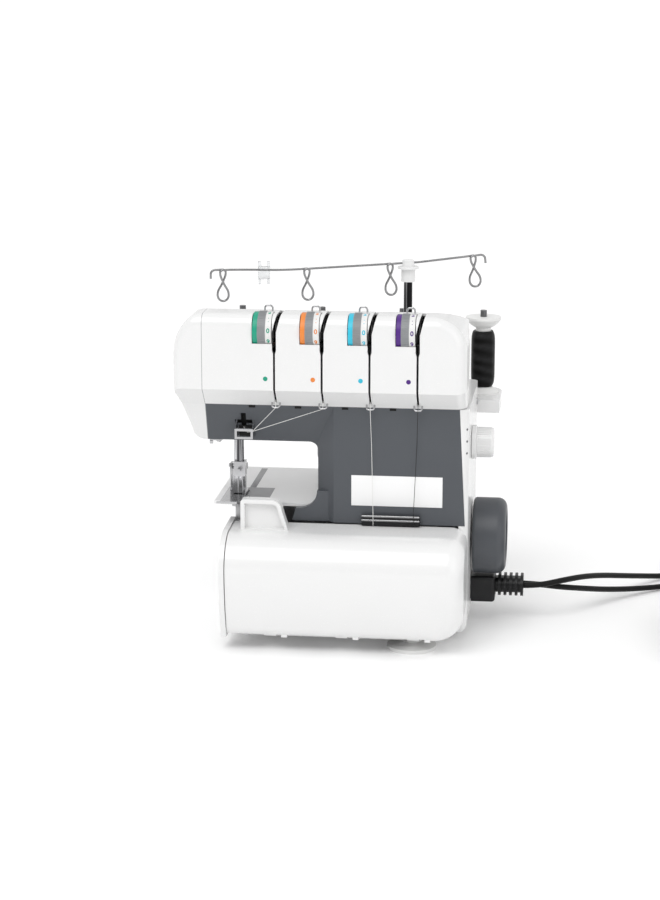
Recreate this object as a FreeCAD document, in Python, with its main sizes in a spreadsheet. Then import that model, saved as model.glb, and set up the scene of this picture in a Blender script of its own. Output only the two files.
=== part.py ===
import FreeCAD, Part
import math
import os
import types

import Sketcher

V = FreeCAD.Vector
os.makedirs("parts", exist_ok=True)
doc = FreeCAD.newDocument("overlock_machine")
sheet = doc.addObject("Spreadsheet::Sheet", "dims")
s = types.SimpleNamespace()
nodes = []
rows = []


class Size:
    """A sheet value, or a sum of them, with its number and the formula that drives it."""

    def __init__(self, value, text):
        self.value = float(value)
        self.text = text

    def mix(self, other, sign, rule):
        other = other if isinstance(other, Size) else Size(other, repr(float(other)))
        return Size(rule(self.value, other.value), f"({self.text} {sign} {other.text})")

    def __add__(self, other):
        return self.mix(other, "+", lambda a, b: a + b)

    def __sub__(self, other):
        return self.mix(other, "-", lambda a, b: a - b)

    def __mul__(self, other):
        return self.mix(other, "*", lambda a, b: a * b)

    def __truediv__(self, other):
        return self.mix(other, "/", lambda a, b: a / b)

    def __neg__(self):
        return Size(-self.value, f"(0 - {self.text})")


def sizes(values):
    """Write driving sizes into the sheet and make each one readable as s.name."""
    for name, value in values.items():
        rows.append(name)
        cell = f"B{len(rows)}"
        sheet.set(f"A{len(rows)}", name)
        sheet.set(cell, str(value))
        sheet.setAlias(cell, name)
        setattr(s, name, Size(value, f"dims.{name}"))
    doc.recompute()


def number(size):
    return size.value if isinstance(size, Size) else float(size)


def drive(thing, prop, size):
    """Bind one property of a document object to the sheet."""
    if isinstance(size, Size):
        thing.setExpression(prop, size.text)
    else:
        setattr(thing, prop, size)


def put(thing, x, y, z, axis=(0, 0, 1)):
    """Place an object with its own Z turned to the axis, at sheet-driven coordinates."""
    turn = FreeCAD.Rotation(V(0, 0, 1), V(*axis))
    thing.Placement = FreeCAD.Placement(V(number(x), number(y), number(z)), turn)
    for letter, size in zip("xyz", (x, y, z)):
        if isinstance(size, Size):
            thing.setExpression(f".Placement.Base.{letter}", size.text)
    return thing


def node(thing):
    """Mark an object as one exported sub-part."""
    nodes.append(thing)
    return thing


def new_body(label):
    body = doc.addObject("PartDesign::Body", label)
    body.Label = label
    return body


def arc_between(a, b, radius):
    """Arc from a to b, shorter way round, turning left for a positive radius."""
    chord = b - a
    rise = math.sqrt(max(radius * radius - chord.Length ** 2 / 4, 0))
    side = V(-chord.y, chord.x, 0).normalize() * (rise if radius > 0 else -rise)
    circle = Part.Circle((a + b) * 0.5 + side, V(0, 0, 1), abs(radius))
    first, last = (a, b) if radius > 0 else (b, a)
    return Part.ArcOfCircle(circle, circle.parameter(first), circle.parameter(last))


def sketch(body, role, steps, level=0):
    """Closed outline on an origin plane moved along its normal. A step is (x, y) or (x, y, r):
    r is the radius of the arc that leads to the point, positive when it turns left."""
    sk = body.newObject("Sketcher::SketchObject", "outline")
    plane = [f for f in body.Origin.OriginFeatures if f.Role == role][0]
    sk.AttachmentSupport = [(plane, "")]
    sk.MapMode = "FlatFace"
    sk.AttachmentOffset = FreeCAD.Placement(V(0, 0, number(level)), FreeCAD.Rotation())
    if isinstance(level, Size):
        sk.setExpression(".AttachmentOffset.Base.z", level.text)
    count = len(steps)
    points = [V(number(step[0]), number(step[1]), 0) for step in steps]
    radii = [step[2] if len(step) > 2 else 0 for step in steps[1:] + steps[:1]]
    ends = []
    for i, radius in enumerate(radii):
        a, b = points[i], points[(i + 1) % count]
        edge = arc_between(a, b, number(radius)) if number(radius) else Part.LineSegment(a, b)
        sk.addGeometry(edge, False)
        ends.append((2, 1) if number(radius) < 0 else (1, 2))
    for i in range(count):
        j = (i + 1) % count
        sk.addConstraint(Sketcher.Constraint("Coincident", i, ends[i][1], j, ends[j][0]))
    for i, step in enumerate(steps):
        for kind, size in (("DistanceX", step[0]), ("DistanceY", step[1])):
            row = sk.addConstraint(Sketcher.Constraint(kind, -1, 1, i, ends[i][0], number(size)))
            if isinstance(size, Size):
                sk.setExpression(f"Constraints[{row}]", size.text)
    for i, radius in enumerate(radii):
        if number(radius):
            row = sk.addConstraint(Sketcher.Constraint("Radius", i, abs(number(radius))))
            if isinstance(radius, Size):
                sk.setExpression(f"Constraints[{row}]", f"abs({radius.text})")
    return sk


def pad(body, sk, length):
    feature = body.newObject("PartDesign::Pad", "pad")
    feature.Profile = sk
    drive(feature, "Length", length)
    doc.recompute()
    return feature


def cut(body, sk, length=None, ahead=True):
    """Pocket along the sketch normal, or against it; no length means right through both ways."""
    feature = body.newObject("PartDesign::Pocket", "pocket")
    feature.Profile = sk
    if length is None:
        feature.Type = "ThroughAll"
        feature.Midplane = True
    else:
        drive(feature, "Length", length)
        feature.Reversed = ahead
    doc.recompute()
    return feature


def edges_at(shape, points):
    """Names of the edges that lie nearest to the given points."""
    names = []
    for point in points:
        probe = Part.Vertex(V(*[number(c) for c in point]))
        gaps = [edge.distToShape(probe)[0] for edge in shape.Edges]
        names.append(f"Edge{gaps.index(min(gaps)) + 1}")
    return sorted(set(names))


def round_edges(body, radius, points):
    base = body.Tip
    feature = body.newObject("PartDesign::Fillet", "round")
    feature.Base = (base, edges_at(base.Shape, points))
    drive(feature, "Radius", radius)
    doc.recompute()
    return feature


def turned(label, steps, x, y, z, axis=(0, 0, 1)):
    """Solid of revolution: steps are (radius, height) along the axis."""
    body = new_body(label)
    sk = sketch(body, "XZ_Plane", steps)
    feature = body.newObject("PartDesign::Revolution", "turn")
    feature.Profile = sk
    feature.ReferenceAxis = (sk, ["V_Axis"])
    put(body, x, y, z, axis)
    doc.recompute()
    return body


def rod(label, radius, length, x, y, z, axis=(0, 0, 1)):
    thing = doc.addObject("Part::Cylinder", label)
    thing.Label = label
    drive(thing, "Radius", radius)
    drive(thing, "Height", length)
    return put(thing, x, y, z, axis)


def block(label, x, y, z, dx, dy, dz):
    thing = doc.addObject("Part::Box", label)
    thing.Label = label
    drive(thing, "Length", dx)
    drive(thing, "Width", dy)
    drive(thing, "Height", dz)
    return put(thing, x, y, z)


def group(label, things):
    """Several equal or joined-up pieces that share one node."""
    thing = doc.addObject("Part::Compound", label)
    thing.Label = label
    thing.Links = things
    return thing


def fused(label, things):
    thing = doc.addObject("Part::MultiFuse", label)
    thing.Label = label
    thing.Shapes = things
    return thing


def bored(label, base, tools):
    """Base with the tools taken away."""
    tool = tools[0] if len(tools) == 1 else fused(label + "_tools", tools)
    thing = doc.addObject("Part::Cut", label)
    thing.Label = label
    thing.Base = base
    thing.Tool = tool
    return thing


# Outer housing, seen from the front: X to the right, Y to the back, Z up, floor at Z = 0.
HOUSING = {
    "left_end": -143, "head_left": -117, "column_left": -20, "panel_right": 104, "side_right": 112,
    "head_right": 110, "panel_y": -70, "arm_y": -58, "facet_x": -5, "head_front": -85, "split_y": -20,
    "body_back": 66, "base_left": -91, "base_front": -98, "base_under": 8, "base_floor": 12,
    "base_rim": 24, "bed_z": 118, "bed_thick": 3, "panel_under": 104, "arm_under": 173,
    "panel_top": 207, "facet_z": 223, "head_top": 288, "head_top_back": -53, "head_rear_z": 258,
    "wall": 2.4, "head_round": 30, "head_corner": 10, "soft_edge": 9, "head_taper": 8.5, "facet_lip": 3.4,
    "taper_from": -40, "cap_round": 26, "cap_fall": 36, "cap_top_r": 20, "cap_low_x": -130,
    "cap_low_z": 184, "cap_turn": 9, "cap_turn_ease": 2, "cap_soft": 7, "rear_round": 14, "overcut": 6,
}
sizes(HOUSING)

slope = (s.head_top - s.head_rear_z) / (s.body_back - s.head_top_back)
split_top = s.head_top - slope * (s.split_y - s.head_top_back)


def right_corner_cut(body, inset):
    """Take the big round off the upper right corner of a head shell."""
    right, top = s.head_right - inset, s.head_top - inset
    round_r = s.head_round - inset
    cut(body, sketch(body, "XZ_Plane", [
        (right - round_r, top), (right, top - round_r, -round_r), (right + s.overcut, top - round_r),
        (right + s.overcut, top + s.overcut), (right - round_r, top + s.overcut)]))


def right_taper_cut(body, inset):
    """Draw the right end of a head shell in towards the back."""
    right, over = s.head_right - inset, s.overcut
    back = s.body_back + over
    drawn = s.head_taper / (s.body_back - s.taper_from) * (back - s.taper_from)
    cut(body, sketch(body, "XY_Plane", [
        (right, s.taper_from), (right + over, s.taper_from), (right + over, back), (right - drawn, back)]))


def head_form(label, inset, floor, left):
    """Front half of the head: upright face, lower facet, rounded upper edge and right end."""
    body = new_body(label)
    front, top = s.head_front + inset, s.head_top - inset
    corner = s.head_corner - inset
    lip = s.panel_y + (s.facet_lip if inset else 0)
    steps = [(lip, floor), (s.split_y, floor), (s.split_y, split_top - inset), (s.head_top_back, top),
             (front + corner, top), (front, top - corner, corner), (front, s.facet_z + inset / 2)]
    if inset:
        steps.append((lip, s.panel_top))
    pad(body, sketch(body, "YZ_Plane", steps, left), s.head_right - inset - left)
    right_corner_cut(body, inset)
    right_taper_cut(body, inset)
    middle = (s.facet_z + s.head_top - s.head_round) / 2
    reach = number(s.head_round) * (1 - math.sqrt(0.5))
    right = s.head_right - inset
    facet = ((number(front) + number(s.panel_y)) / 2, (number(s.facet_z) + number(floor)) / 2)
    round_edges(body, s.soft_edge - inset, [
        (right, front, middle), (right, *facet), (right - reach, front, top - reach)])
    return body


# Tension dials: thumbwheels on one rod behind windows in the head, each beside a thread slot.
DIALS = {
    "dial_pitch": 41, "dial_first": -73, "dial_wide": 16, "dial_r": 16, "dial_y": -71.5, "dial_drop": 14.5,
    "dial_gap": 0.7, "band_wide": 4, "digit_wide": 5, "grip_rise": 0.5, "rod_r": 3, "run_fit": 0.05,
    "slot_first": -54.6, "slot_wide": 3.6, "slot_narrow": 1.8, "slot_step_z": 258, "slot_foot_z": 211,
    "slot_lean": 5, "slot_ease": 3, "slot_reach": 8,
}
sizes(DIALS)
s.dial_z = s.head_top - s.dial_drop


def dial_x(i):
    return s.dial_first + s.dial_pitch * i


def slot_x(i):
    return s.slot_first + s.dial_pitch * i


def slot_cutter(i):
    """Thread slot: wide beside the dial and over the top edge, narrow below, down to the facet."""
    body = new_body(f"slot_cutter_{i + 1}")
    x = slot_x(i)
    half, thin = s.slot_wide / 2, s.slot_narrow / 2
    top = s.head_top + s.overcut
    pad(body, sketch(body, "XZ_Plane", [
        (x - thin, s.slot_foot_z), (x + thin, s.slot_foot_z), (x + thin, s.slot_step_z - s.slot_ease),
        (x + half, s.slot_step_z), (x + half, s.dial_z), (x + half + s.slot_lean, top),
        (x - half + s.slot_lean, top), (x - half, s.dial_z), (x - half, s.slot_step_z),
        (x - thin, s.slot_step_z - s.slot_ease)], -s.head_top_back - s.slot_reach),
        s.head_top_back + s.slot_reach - s.head_front + s.overcut)
    return body


def head_cover():
    """White front shell of the head, cut for the dials and the four threads."""
    outer = head_form("head_outer", 0, s.panel_top, s.head_left)
    inner = head_form("head_inner", s.wall, s.panel_top - s.overcut, s.head_left - s.overcut)
    windows = [rod(f"window_{i + 1}", s.dial_r + s.dial_gap, s.dial_wide + s.dial_gap * 2,
                   dial_x(i) - s.dial_gap, s.dial_y, s.dial_z, (1, 0, 0)) for i in range(4)]
    slots = [slot_cutter(i) for i in range(4)]
    node(bored("head_cover", outer, [inner] + windows + slots))


def tension_dial(i):
    """Thumbwheel: coloured band, raised grip band and number band, bored for the rod."""
    r, rise = s.dial_r, s.grip_rise
    grip_end = s.dial_wide - s.digit_wide
    node(turned(f"tension_dial_{i + 1}", [
        (s.rod_r + s.run_fit, 0), (r - rise, 0), (r - rise, s.band_wide), (r, s.band_wide + rise),
        (r, grip_end - rise), (r - rise, grip_end), (r - rise, s.dial_wide),
        (s.rod_r + s.run_fit, s.dial_wide)], dial_x(i), s.dial_y, s.dial_z, (1, 0, 0)))


RACK = {
    "bracket_deep": 22, "bracket_thick": 2, "tab_wide": 2, "disc_r": 10.4, "disc_thick": 1.1,
    "disc_gap": 1.4, "rack_left_over": 6, "rack_right_over": 12, "tab_edge": 1, "tab_before": 8,
    "tab_ring": 3, "tab_back_high": 12, "tab_front_high": 20,
}
sizes(RACK)


def tension_rack():
    """Rod that carries the dials, its folded bracket and the disc pairs that pinch the threads."""
    left = s.dial_first - s.rack_left_over
    right = slot_x(3) + s.rack_right_over
    axle = rod("tension_rod", s.rod_r, right - left, left, s.dial_y, s.dial_z, (1, 0, 0))
    body = new_body("bracket_plate")
    floor = s.panel_top
    back = s.panel_y + s.facet_lip
    pad(body, sketch(body, "XY_Plane", [
        (left, back), (right, back), (right, back + s.bracket_deep), (left, back + s.bracket_deep)],
        floor), s.bracket_thick)
    tabs = [left + s.tab_edge] + [dial_x(i) - s.tab_before for i in (1, 2, 3)]
    tabs.append(right - s.tab_edge - s.tab_wide)
    for x in tabs:
        half = s.rod_r + s.tab_ring
        pad(body, sketch(body, "YZ_Plane", [
            (back, floor), (back + s.bracket_deep, floor), (back + s.bracket_deep, floor + s.tab_back_high),
            (s.dial_y + half, s.dial_z), (s.dial_y, s.dial_z + half, half),
            (s.dial_y - half, s.dial_z, half), (back, floor + s.tab_front_high)], x), s.tab_wide)
    hole = rod("rod_hole", s.rod_r, right - left + s.overcut * 2, left - s.overcut, s.dial_y, s.dial_z,
               (1, 0, 0))
    discs = [axle, bored("tension_bracket", body, [hole])]
    for i in range(4):
        for side in (-1, 1):
            start = slot_x(i) + (s.disc_gap / 2 if side > 0 else -(s.disc_gap / 2 + s.disc_thick))
            discs.append(turned(f"disc_{i}_{side}", [
                (s.rod_r, 0), (s.disc_r, 0), (s.disc_r, s.disc_thick), (s.rod_r, s.disc_thick)],
                start, s.dial_y, s.dial_z, (1, 0, 0)))
    node(group("tension_rack", discs))


def left_end_cap():
    """White cap that closes the left end of head and arm, rounded above and drawn in below."""
    def form(label, inset):
        body = new_body(label)
        front, top = s.head_front + inset, s.head_top - inset
        corner = s.head_corner - inset
        back, rear = s.body_back - inset, s.head_rear_z - inset
        pad(body, sketch(body, "YZ_Plane", [
            (s.arm_y + inset, s.arm_under + inset), (back, s.arm_under + inset), (back, rear),
            (s.head_top_back, top), (front + corner, top), (front, top - corner, corner),
            (front, s.facet_z), (s.panel_y + inset, s.panel_top)], s.left_end + inset),
            s.head_left - s.left_end + (s.overcut - inset if inset else 0))
        left, low = s.left_end + inset, s.arm_under + inset
        across, fall, top_r = s.cap_round - inset, s.cap_fall - inset, s.cap_top_r - inset
        drop = fall - top_r
        side_r = (across * across + drop * drop - top_r * top_r) / ((across - top_r) * 2)
        share = top_r / (side_r - top_r)
        turn_x = left + across - (side_r - across) * share
        turn_z = top - top_r + drop * share
        low_x, low_z = s.cap_low_x + inset, s.cap_low_z
        over = s.overcut
        cut(body, sketch(body, "XZ_Plane", [
            (left - over, top + over), (left - over, low - over), (low_x + s.cap_turn, low - over),
            (low_x + s.cap_turn, low), (low_x, low_z, -(s.cap_turn + s.cap_turn_ease)), (left, s.facet_z),
            (left, top - fall), (turn_x, turn_z, -side_r), (left + across, top, -top_r),
            (left + across, top + over)]))
        return body
    outer = form("cap_outer", 0)
    round_edges(outer, s.cap_soft, [
        (s.left_end, s.head_front, s.head_top - s.cap_fall - s.cap_soft),
        (s.left_end, s.head_front, s.head_top - s.cap_fall + s.cap_soft)])
    node(bored("left_end_cap", outer, [form("cap_inner", s.wall)]))


def head_rear_cover():
    """White rear shell of head and arm, its top falling to a rounded back edge."""
    def form(label, inset, front):
        body = new_body(label)
        low, back = s.arm_under + inset, s.body_back - inset
        left = s.head_left - (s.overcut if inset else 0)
        pad(body, sketch(body, "YZ_Plane", [
            (front, low), (back, low), (back, s.head_rear_z - inset),
            (front, s.head_top - inset - slope * (front - s.head_top_back))], left),
            s.head_right - inset - left)
        right_corner_cut(body, inset)
        right_taper_cut(body, inset)
        return body
    outer = form("head_rear_outer", 0, s.split_y)
    round_edges(outer, s.rear_round, [(0, s.body_back, s.head_rear_z)])
    inner = form("head_rear_inner", s.wall, s.split_y - s.overcut)
    round_edges(inner, s.rear_round - s.wall,
                [(0, s.body_back - s.wall, s.head_rear_z - s.wall)])
    beside = block("side_cover_room", s.panel_right, s.split_y - s.overcut, s.arm_under - s.overcut,
                   s.side_right - s.panel_right, s.body_back - s.split_y + s.overcut * 2,
                   s.panel_top - s.arm_under + s.overcut)
    node(bored("head_rear_cover", outer, [inner, beside]))


# Slate front panel: the column stands forward of the arm, whose face leans back to its lower edge.
PANEL = {
    "toe_left": -42, "toe_front": -66, "toe_back": -60, "toe_top": 131, "toe_low": 115, "toe_r": 16,
    "throat_r": 8, "needle_x": -91, "needle_y": -44, "presser_x": -96, "presser_y": -26, "bar_gap": 2.5,
    "needle_bar_r": 3.4, "presser_bar_r": 3.6, "guide_slot_wide": 4.5, "guide_slot_low": 184,
    "guide_slot_high": 199, "guide_slot_x": -84.5, "slot_arm_wide": 15, "slot_arm_low": 189.2,
    "slot_arm_high": 192.8, "lip_flare": 5.4, "lip_thick": 3, "hole_deep": 20, "toe_tuck": 4,
    "toe_lean": 3, "arm_open": 8,
}
sizes(PANEL)


def panel_lip(body):
    """Wedge that widens the foot of the panel to the right, over the front edge of the side shell."""
    return pad(body, sketch(body, "XZ_Plane", [
        (s.panel_right, s.panel_under), (s.panel_right + s.lip_flare, s.panel_under),
        (s.panel_right, s.panel_top)], -(s.panel_y + s.lip_thick)), s.lip_thick)


def front_panel():
    """Column and arm faces in one moulding, bored for the bars and slotted for the arm guide."""
    body = new_body("panel_solid")
    pad(body, sketch(body, "XY_Plane", [
        (s.column_left, s.split_y), (s.column_left, s.arm_y), (s.facet_x, s.panel_y),
        (s.panel_right, s.panel_y), (s.panel_right, s.split_y)], s.panel_under),
        s.panel_top - s.panel_under)
    pad(body, sketch(body, "YZ_Plane", [
        (s.arm_y, s.arm_under), (s.split_y, s.arm_under), (s.split_y, s.panel_top),
        (s.panel_y, s.panel_top)], s.head_left), s.facet_x - s.head_left)
    pad(body, sketch(body, "XZ_Plane", [
        (s.toe_left, s.panel_under), (s.facet_x - s.toe_tuck, s.panel_under),
        (s.facet_x - s.toe_tuck, s.toe_top),
        (s.column_left, s.toe_top), (s.column_left - s.toe_r, s.toe_low, -s.toe_r),
        (s.toe_left + s.toe_lean, s.toe_low)], -s.toe_back), s.toe_back - s.toe_front)
    round_edges(body, s.throat_r, [(s.column_left, (s.arm_y + s.split_y) / 2, s.arm_under)])
    over = s.overcut
    cut(body, sketch(body, "XY_Plane", [
        (s.column_left + s.wall, s.split_y + over), (s.column_left + s.wall, s.arm_y + s.wall),
        (s.facet_x + s.wall / 2, s.panel_y + s.wall), (s.panel_right - s.wall, s.panel_y + s.wall),
        (s.panel_right - s.wall, s.split_y + over)], s.panel_under - over),
        s.panel_top - s.panel_under + over * 2)
    cut(body, sketch(body, "YZ_Plane", [
        (s.arm_y + s.wall, s.arm_under + s.wall), (s.split_y + over, s.arm_under + s.wall),
        (s.split_y + over, s.panel_top + over), (s.panel_y + s.wall, s.panel_top + over),
        (s.panel_y + s.wall, s.panel_top)], s.head_left - over),
        s.facet_x + s.arm_open - s.head_left + over)
    panel_lip(body)
    hole_low = s.arm_under - s.hole_deep / 2
    needle_hole = rod("needle_bar_hole", s.needle_bar_r + s.bar_gap, s.hole_deep, s.needle_x, s.needle_y,
                      hole_low)
    presser_hole = rod("presser_bar_hole", s.presser_bar_r + s.bar_gap, s.hole_deep, s.presser_x,
                       s.presser_y, hole_low)
    depth = s.arm_y - s.panel_y + over * 2
    cross = [block("guide_slot", s.guide_slot_x - wide / 2, s.panel_y - over, low, wide, depth, high - low)
             for wide, low, high in ((s.guide_slot_wide, s.guide_slot_low, s.guide_slot_high),
                                     (s.slot_arm_wide, s.slot_arm_low, s.slot_arm_high))]
    node(bored("front_panel", body, [needle_hole, presser_hole] + cross))


# Handwheel, stitch dial, mains connector and switch all sit on the right side.
SIDE = {
    "shaft_y": 0, "shaft_z": 78, "shaft_r": 5, "shaft_hole_gap": 3, "wheel_r": 34, "wheel_gap": 1.5,
    "wheel_face": 143, "knob_y": -20, "knob_z": 168, "knob_r": 15, "knob_stem_r": 4, "knob_face": 131.5,
    "inlet_y": 0, "inlet_z": 31, "inlet_wide": 24, "inlet_high": 18, "switch_y": 38, "switch_z": 31,
    "switch_wide": 13, "switch_high": 20, "side_soft": 7,
}
sizes(SIDE)


def right_cover():
    """White side shell between panel and handwheel, cut for shaft, stitch dial, inlet and switch."""
    body = new_body("side_solid")
    pad(body, sketch(body, "YZ_Plane", [
        (s.panel_y, s.base_under), (s.body_back, s.base_under), (s.body_back, s.panel_top),
        (s.panel_y, s.panel_top)], s.panel_right), s.side_right - s.panel_right)
    middle_y, middle_z = (s.panel_y + s.body_back) / 2, (s.base_under + s.panel_top) / 2
    round_edges(body, s.side_soft, [
        (s.side_right, s.panel_y, middle_z), (s.side_right, s.body_back, middle_z),
        (s.side_right, middle_y, s.base_under)])
    cut(body, sketch(body, "YZ_Plane", [
        (s.panel_y + s.side_soft, s.base_under + s.side_soft),
        (s.body_back - s.side_soft, s.base_under + s.side_soft),
        (s.body_back - s.side_soft, s.panel_top - s.wall),
        (s.panel_y + s.side_soft, s.panel_top - s.wall)], s.panel_right),
        s.side_right - s.panel_right - s.wall)
    start, depth = s.panel_right - s.overcut, s.side_right - s.panel_right + s.overcut * 2
    holes = [
        rod("side_shaft_hole", s.shaft_r + s.shaft_hole_gap, depth, start, s.shaft_y, s.shaft_z,
            (1, 0, 0)),
        rod("side_knob_hole", s.knob_stem_r + s.run_fit, depth, start, s.knob_y, s.knob_z, (1, 0, 0)),
        block("inlet_hole", start, s.inlet_y - s.inlet_wide / 2, s.inlet_z - s.inlet_high / 2,
              depth, s.inlet_wide, s.inlet_high),
        block("switch_hole", start, s.switch_y - s.switch_wide / 2, s.switch_z - s.switch_high / 2,
              depth, s.switch_wide, s.switch_high)]
    lip_room = new_body("panel_lip_room")
    panel_lip(lip_room)
    node(bored("right_cover", body, holes + [lip_room]))


# Presser lifter lever and its pin in the rear cover.
LIFTER = {
    "lever_x": -33, "lever_wide": 12.6, "lever_y": 48, "lever_z": 142, "lever_r": 7, "lever_end_y": 82,
    "lever_end_z": 123, "lever_pin_r": 2.5, "lever_pin_deep": 8, "lever_tip": 3,
}
sizes(LIFTER)


def rear_cover():
    """White rear shell of column and bed, open to the front and right, with the side door's pin."""
    over = s.overcut

    def form(label, inset, front):
        body = new_body(label)
        bed_under = s.bed_z - s.bed_thick - inset
        low = s.base_rim - (over if inset else 0)
        right = s.panel_right + (over if inset else 0)
        pad(body, sketch(body, "XZ_Plane", [
            (s.base_left + inset, low), (right, low),
            (right, s.arm_under - inset), (s.column_left + inset, s.arm_under - inset),
            (s.column_left + inset, bed_under), (s.base_left + inset, bed_under)],
            -(s.body_back - inset)), s.body_back - inset - front)
        return body
    outer = form("rear_outer", 0, s.split_y)
    round_edges(outer, s.barrel_r, [(s.base_left, s.body_back, (s.base_rim + s.bed_z) / 2)])
    lever_hole = rod("lever_hole", s.lever_pin_r + s.run_fit, s.wall + over, s.column_left - over / 2,
                     s.lever_y, s.lever_z, (1, 0, 0))
    shell = bored("rear_shell", outer, [form("rear_inner", s.wall, s.split_y - over), lever_hole])
    low = s.barrel_low - s.part_gap - s.knuckle
    pin = rod("side_hinge_pin", s.side_pin_r, s.barrel_high + s.part_gap + s.knuckle - low,
              s.side_hinge_x, s.side_hinge_y, low)
    node(fused("rear_cover", [shell, pin] + side_knuckles()))


# Looper cover: curved front door that slides right on its hinge rod and then swings down.
COVER = {
    "cover_left": -92, "cover_right": 112, "cover_back": -71, "cover_top": 103, "shoulder_y": -100,
    "shoulder_r": 30, "bulge_z": 72, "cover_front": -130, "cover_low_y": -118, "cover_low_z": 12,
    "belly_r": 156, "cover_corner": 26, "cover_soft": 14, "cover_end": 9.5, "hinge_y": -111,
    "hinge_z": 16, "hinge_r": 2, "lug_r": 4, "lug_wide": 10, "lug_first": -60, "lug_pitch": 62,
    "ear_gap": 5, "ear_wide": 5, "guard_left": -83, "guard_right": -41, "guard_front": -96,
    "guard_back": -86, "guard_top": 129, "guard_turn": 9, "guard_flare": 6, "guard_lip": 3.5,
    "guard_dip": 6, "guard_corner": 3, "ear_rise": 0.5, "ear_root": 1, "hinge_over": 4, "hinge_tail": 2,
}
sizes(COVER)


def lug_xs():
    return [s.lug_first + s.lug_pitch * i for i in range(3)]


def cover_form(label, inset, end):
    """Solid of the looper cover: flat shelf, rounded shoulder and long belly."""
    body = new_body(label)
    over = s.overcut if inset else 0
    front, right = s.cover_front + inset, s.cover_right - end
    low_y, low, left = s.cover_low_y + inset, s.cover_low_z, s.cover_left - over
    steps = [(low_y, low, s.belly_r - inset), (s.cover_back + over, low - over),
             (s.cover_back + over, s.cover_top - inset),
             (s.shoulder_y, s.bulge_z + s.shoulder_r - inset),
             (front, s.bulge_z, s.shoulder_r - inset)]
    if inset:
        steps.insert(1, (low_y, low - over))
    pad(body, sketch(body, "YZ_Plane", steps, left), right - left)
    corner = s.cover_corner - end / 2
    beyond = s.overcut * 2
    cut(body, sketch(body, "XZ_Plane", [
        (right - corner, low + inset, -corner), (right - corner, low - beyond),
        (right + beyond, low - beyond), (right + beyond, low + inset + corner),
        (right, low + inset + corner)]))
    return body


def soften_cover_end(body):
    """Round the right end of the cover all the way from shelf to belly."""
    right, lean = s.cover_right, s.shoulder_r * math.sqrt(0.5)
    round_edges(body, s.cover_soft, [
        (right, (s.shoulder_y + s.cover_back) / 2, (s.cover_top + s.bulge_z + s.shoulder_r) / 2),
        (right, s.shoulder_y - lean, s.bulge_z + lean), (right, s.cover_front, s.bulge_z - s.cover_corner)])


def finger_guard():
    """Arched guard on the cover shelf in front of the knives, dished on its front."""
    body = new_body("finger_guard")
    foot, top, turn = s.cover_top - s.wall, s.guard_top, s.guard_turn
    left, right, waist = s.guard_left, s.guard_right, s.guard_right - s.guard_flare
    corner, lip = s.guard_corner, s.guard_lip
    pad(body, sketch(body, "XZ_Plane", [
        (left, foot), (right, foot), (waist, top - turn), (waist - turn, top, turn), (left + corner, top),
        (left, top - corner, corner)], -s.guard_back), s.guard_back - s.guard_front)
    cut(body, sketch(body, "XZ_Plane", [
        (left + lip, s.cover_top), (right - lip, s.cover_top), (waist - lip, top - turn),
        (waist - turn, top - lip, turn - lip), (left + lip, top - lip)], -s.guard_front),
        s.guard_dip, ahead=False)
    return body


def looper_cover():
    outer = cover_form("cover_outer", 0, 0)
    soften_cover_end(outer)
    shell = bored("cover_shell", outer, [cover_form("cover_inner", s.wall, s.cover_end)])
    ears = []
    for x in lug_xs():
        body = new_body("cover_ear")
        tip = s.hinge_y + s.lug_r
        pad(body, sketch(body, "YZ_Plane", [
            (s.cover_low_y + s.wall / 2, s.cover_low_z + s.ear_rise), (tip, s.cover_low_z + s.ear_rise),
            (tip, s.hinge_z + s.lug_r), (s.cover_low_y - s.ear_root, s.hinge_z + s.lug_r * 2)],
            x + s.lug_wide + s.ear_gap), s.ear_wide)
        ears.append(body)
    start = s.lug_first - s.hinge_over
    span = s.lug_pitch * 2 + s.lug_wide + s.ear_gap + s.ear_wide + s.hinge_over + s.hinge_tail
    hole = rod("ear_hole", s.hinge_r + s.run_fit, span, start, s.hinge_y, s.hinge_z, (1, 0, 0))
    node(bored("looper_cover", fused("cover_with_ears", [shell, finger_guard()] + ears), [hole]))
    node(rod("cover_hinge_rod", s.hinge_r, span, start, s.hinge_y, s.hinge_z, (1, 0, 0)))


DOOR = {
    "plate_left": -97, "plate_thick": 4.4, "plate_grow": 1.5, "plate_step_y": -62,
    "side_hinge_x": -95.5, "side_hinge_y": 63, "side_pin_r": 1.5, "barrel_r": 3.2, "barrel_low": 34,
    "barrel_high": 98, "knuckle": 6, "part_gap": 0.4, "notch_back": -14, "notch_z": 94,
    "leaf_gap": 1, "leaf_lap": 2, "knuckle_arm": 4,
}
sizes(DOOR)


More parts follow.
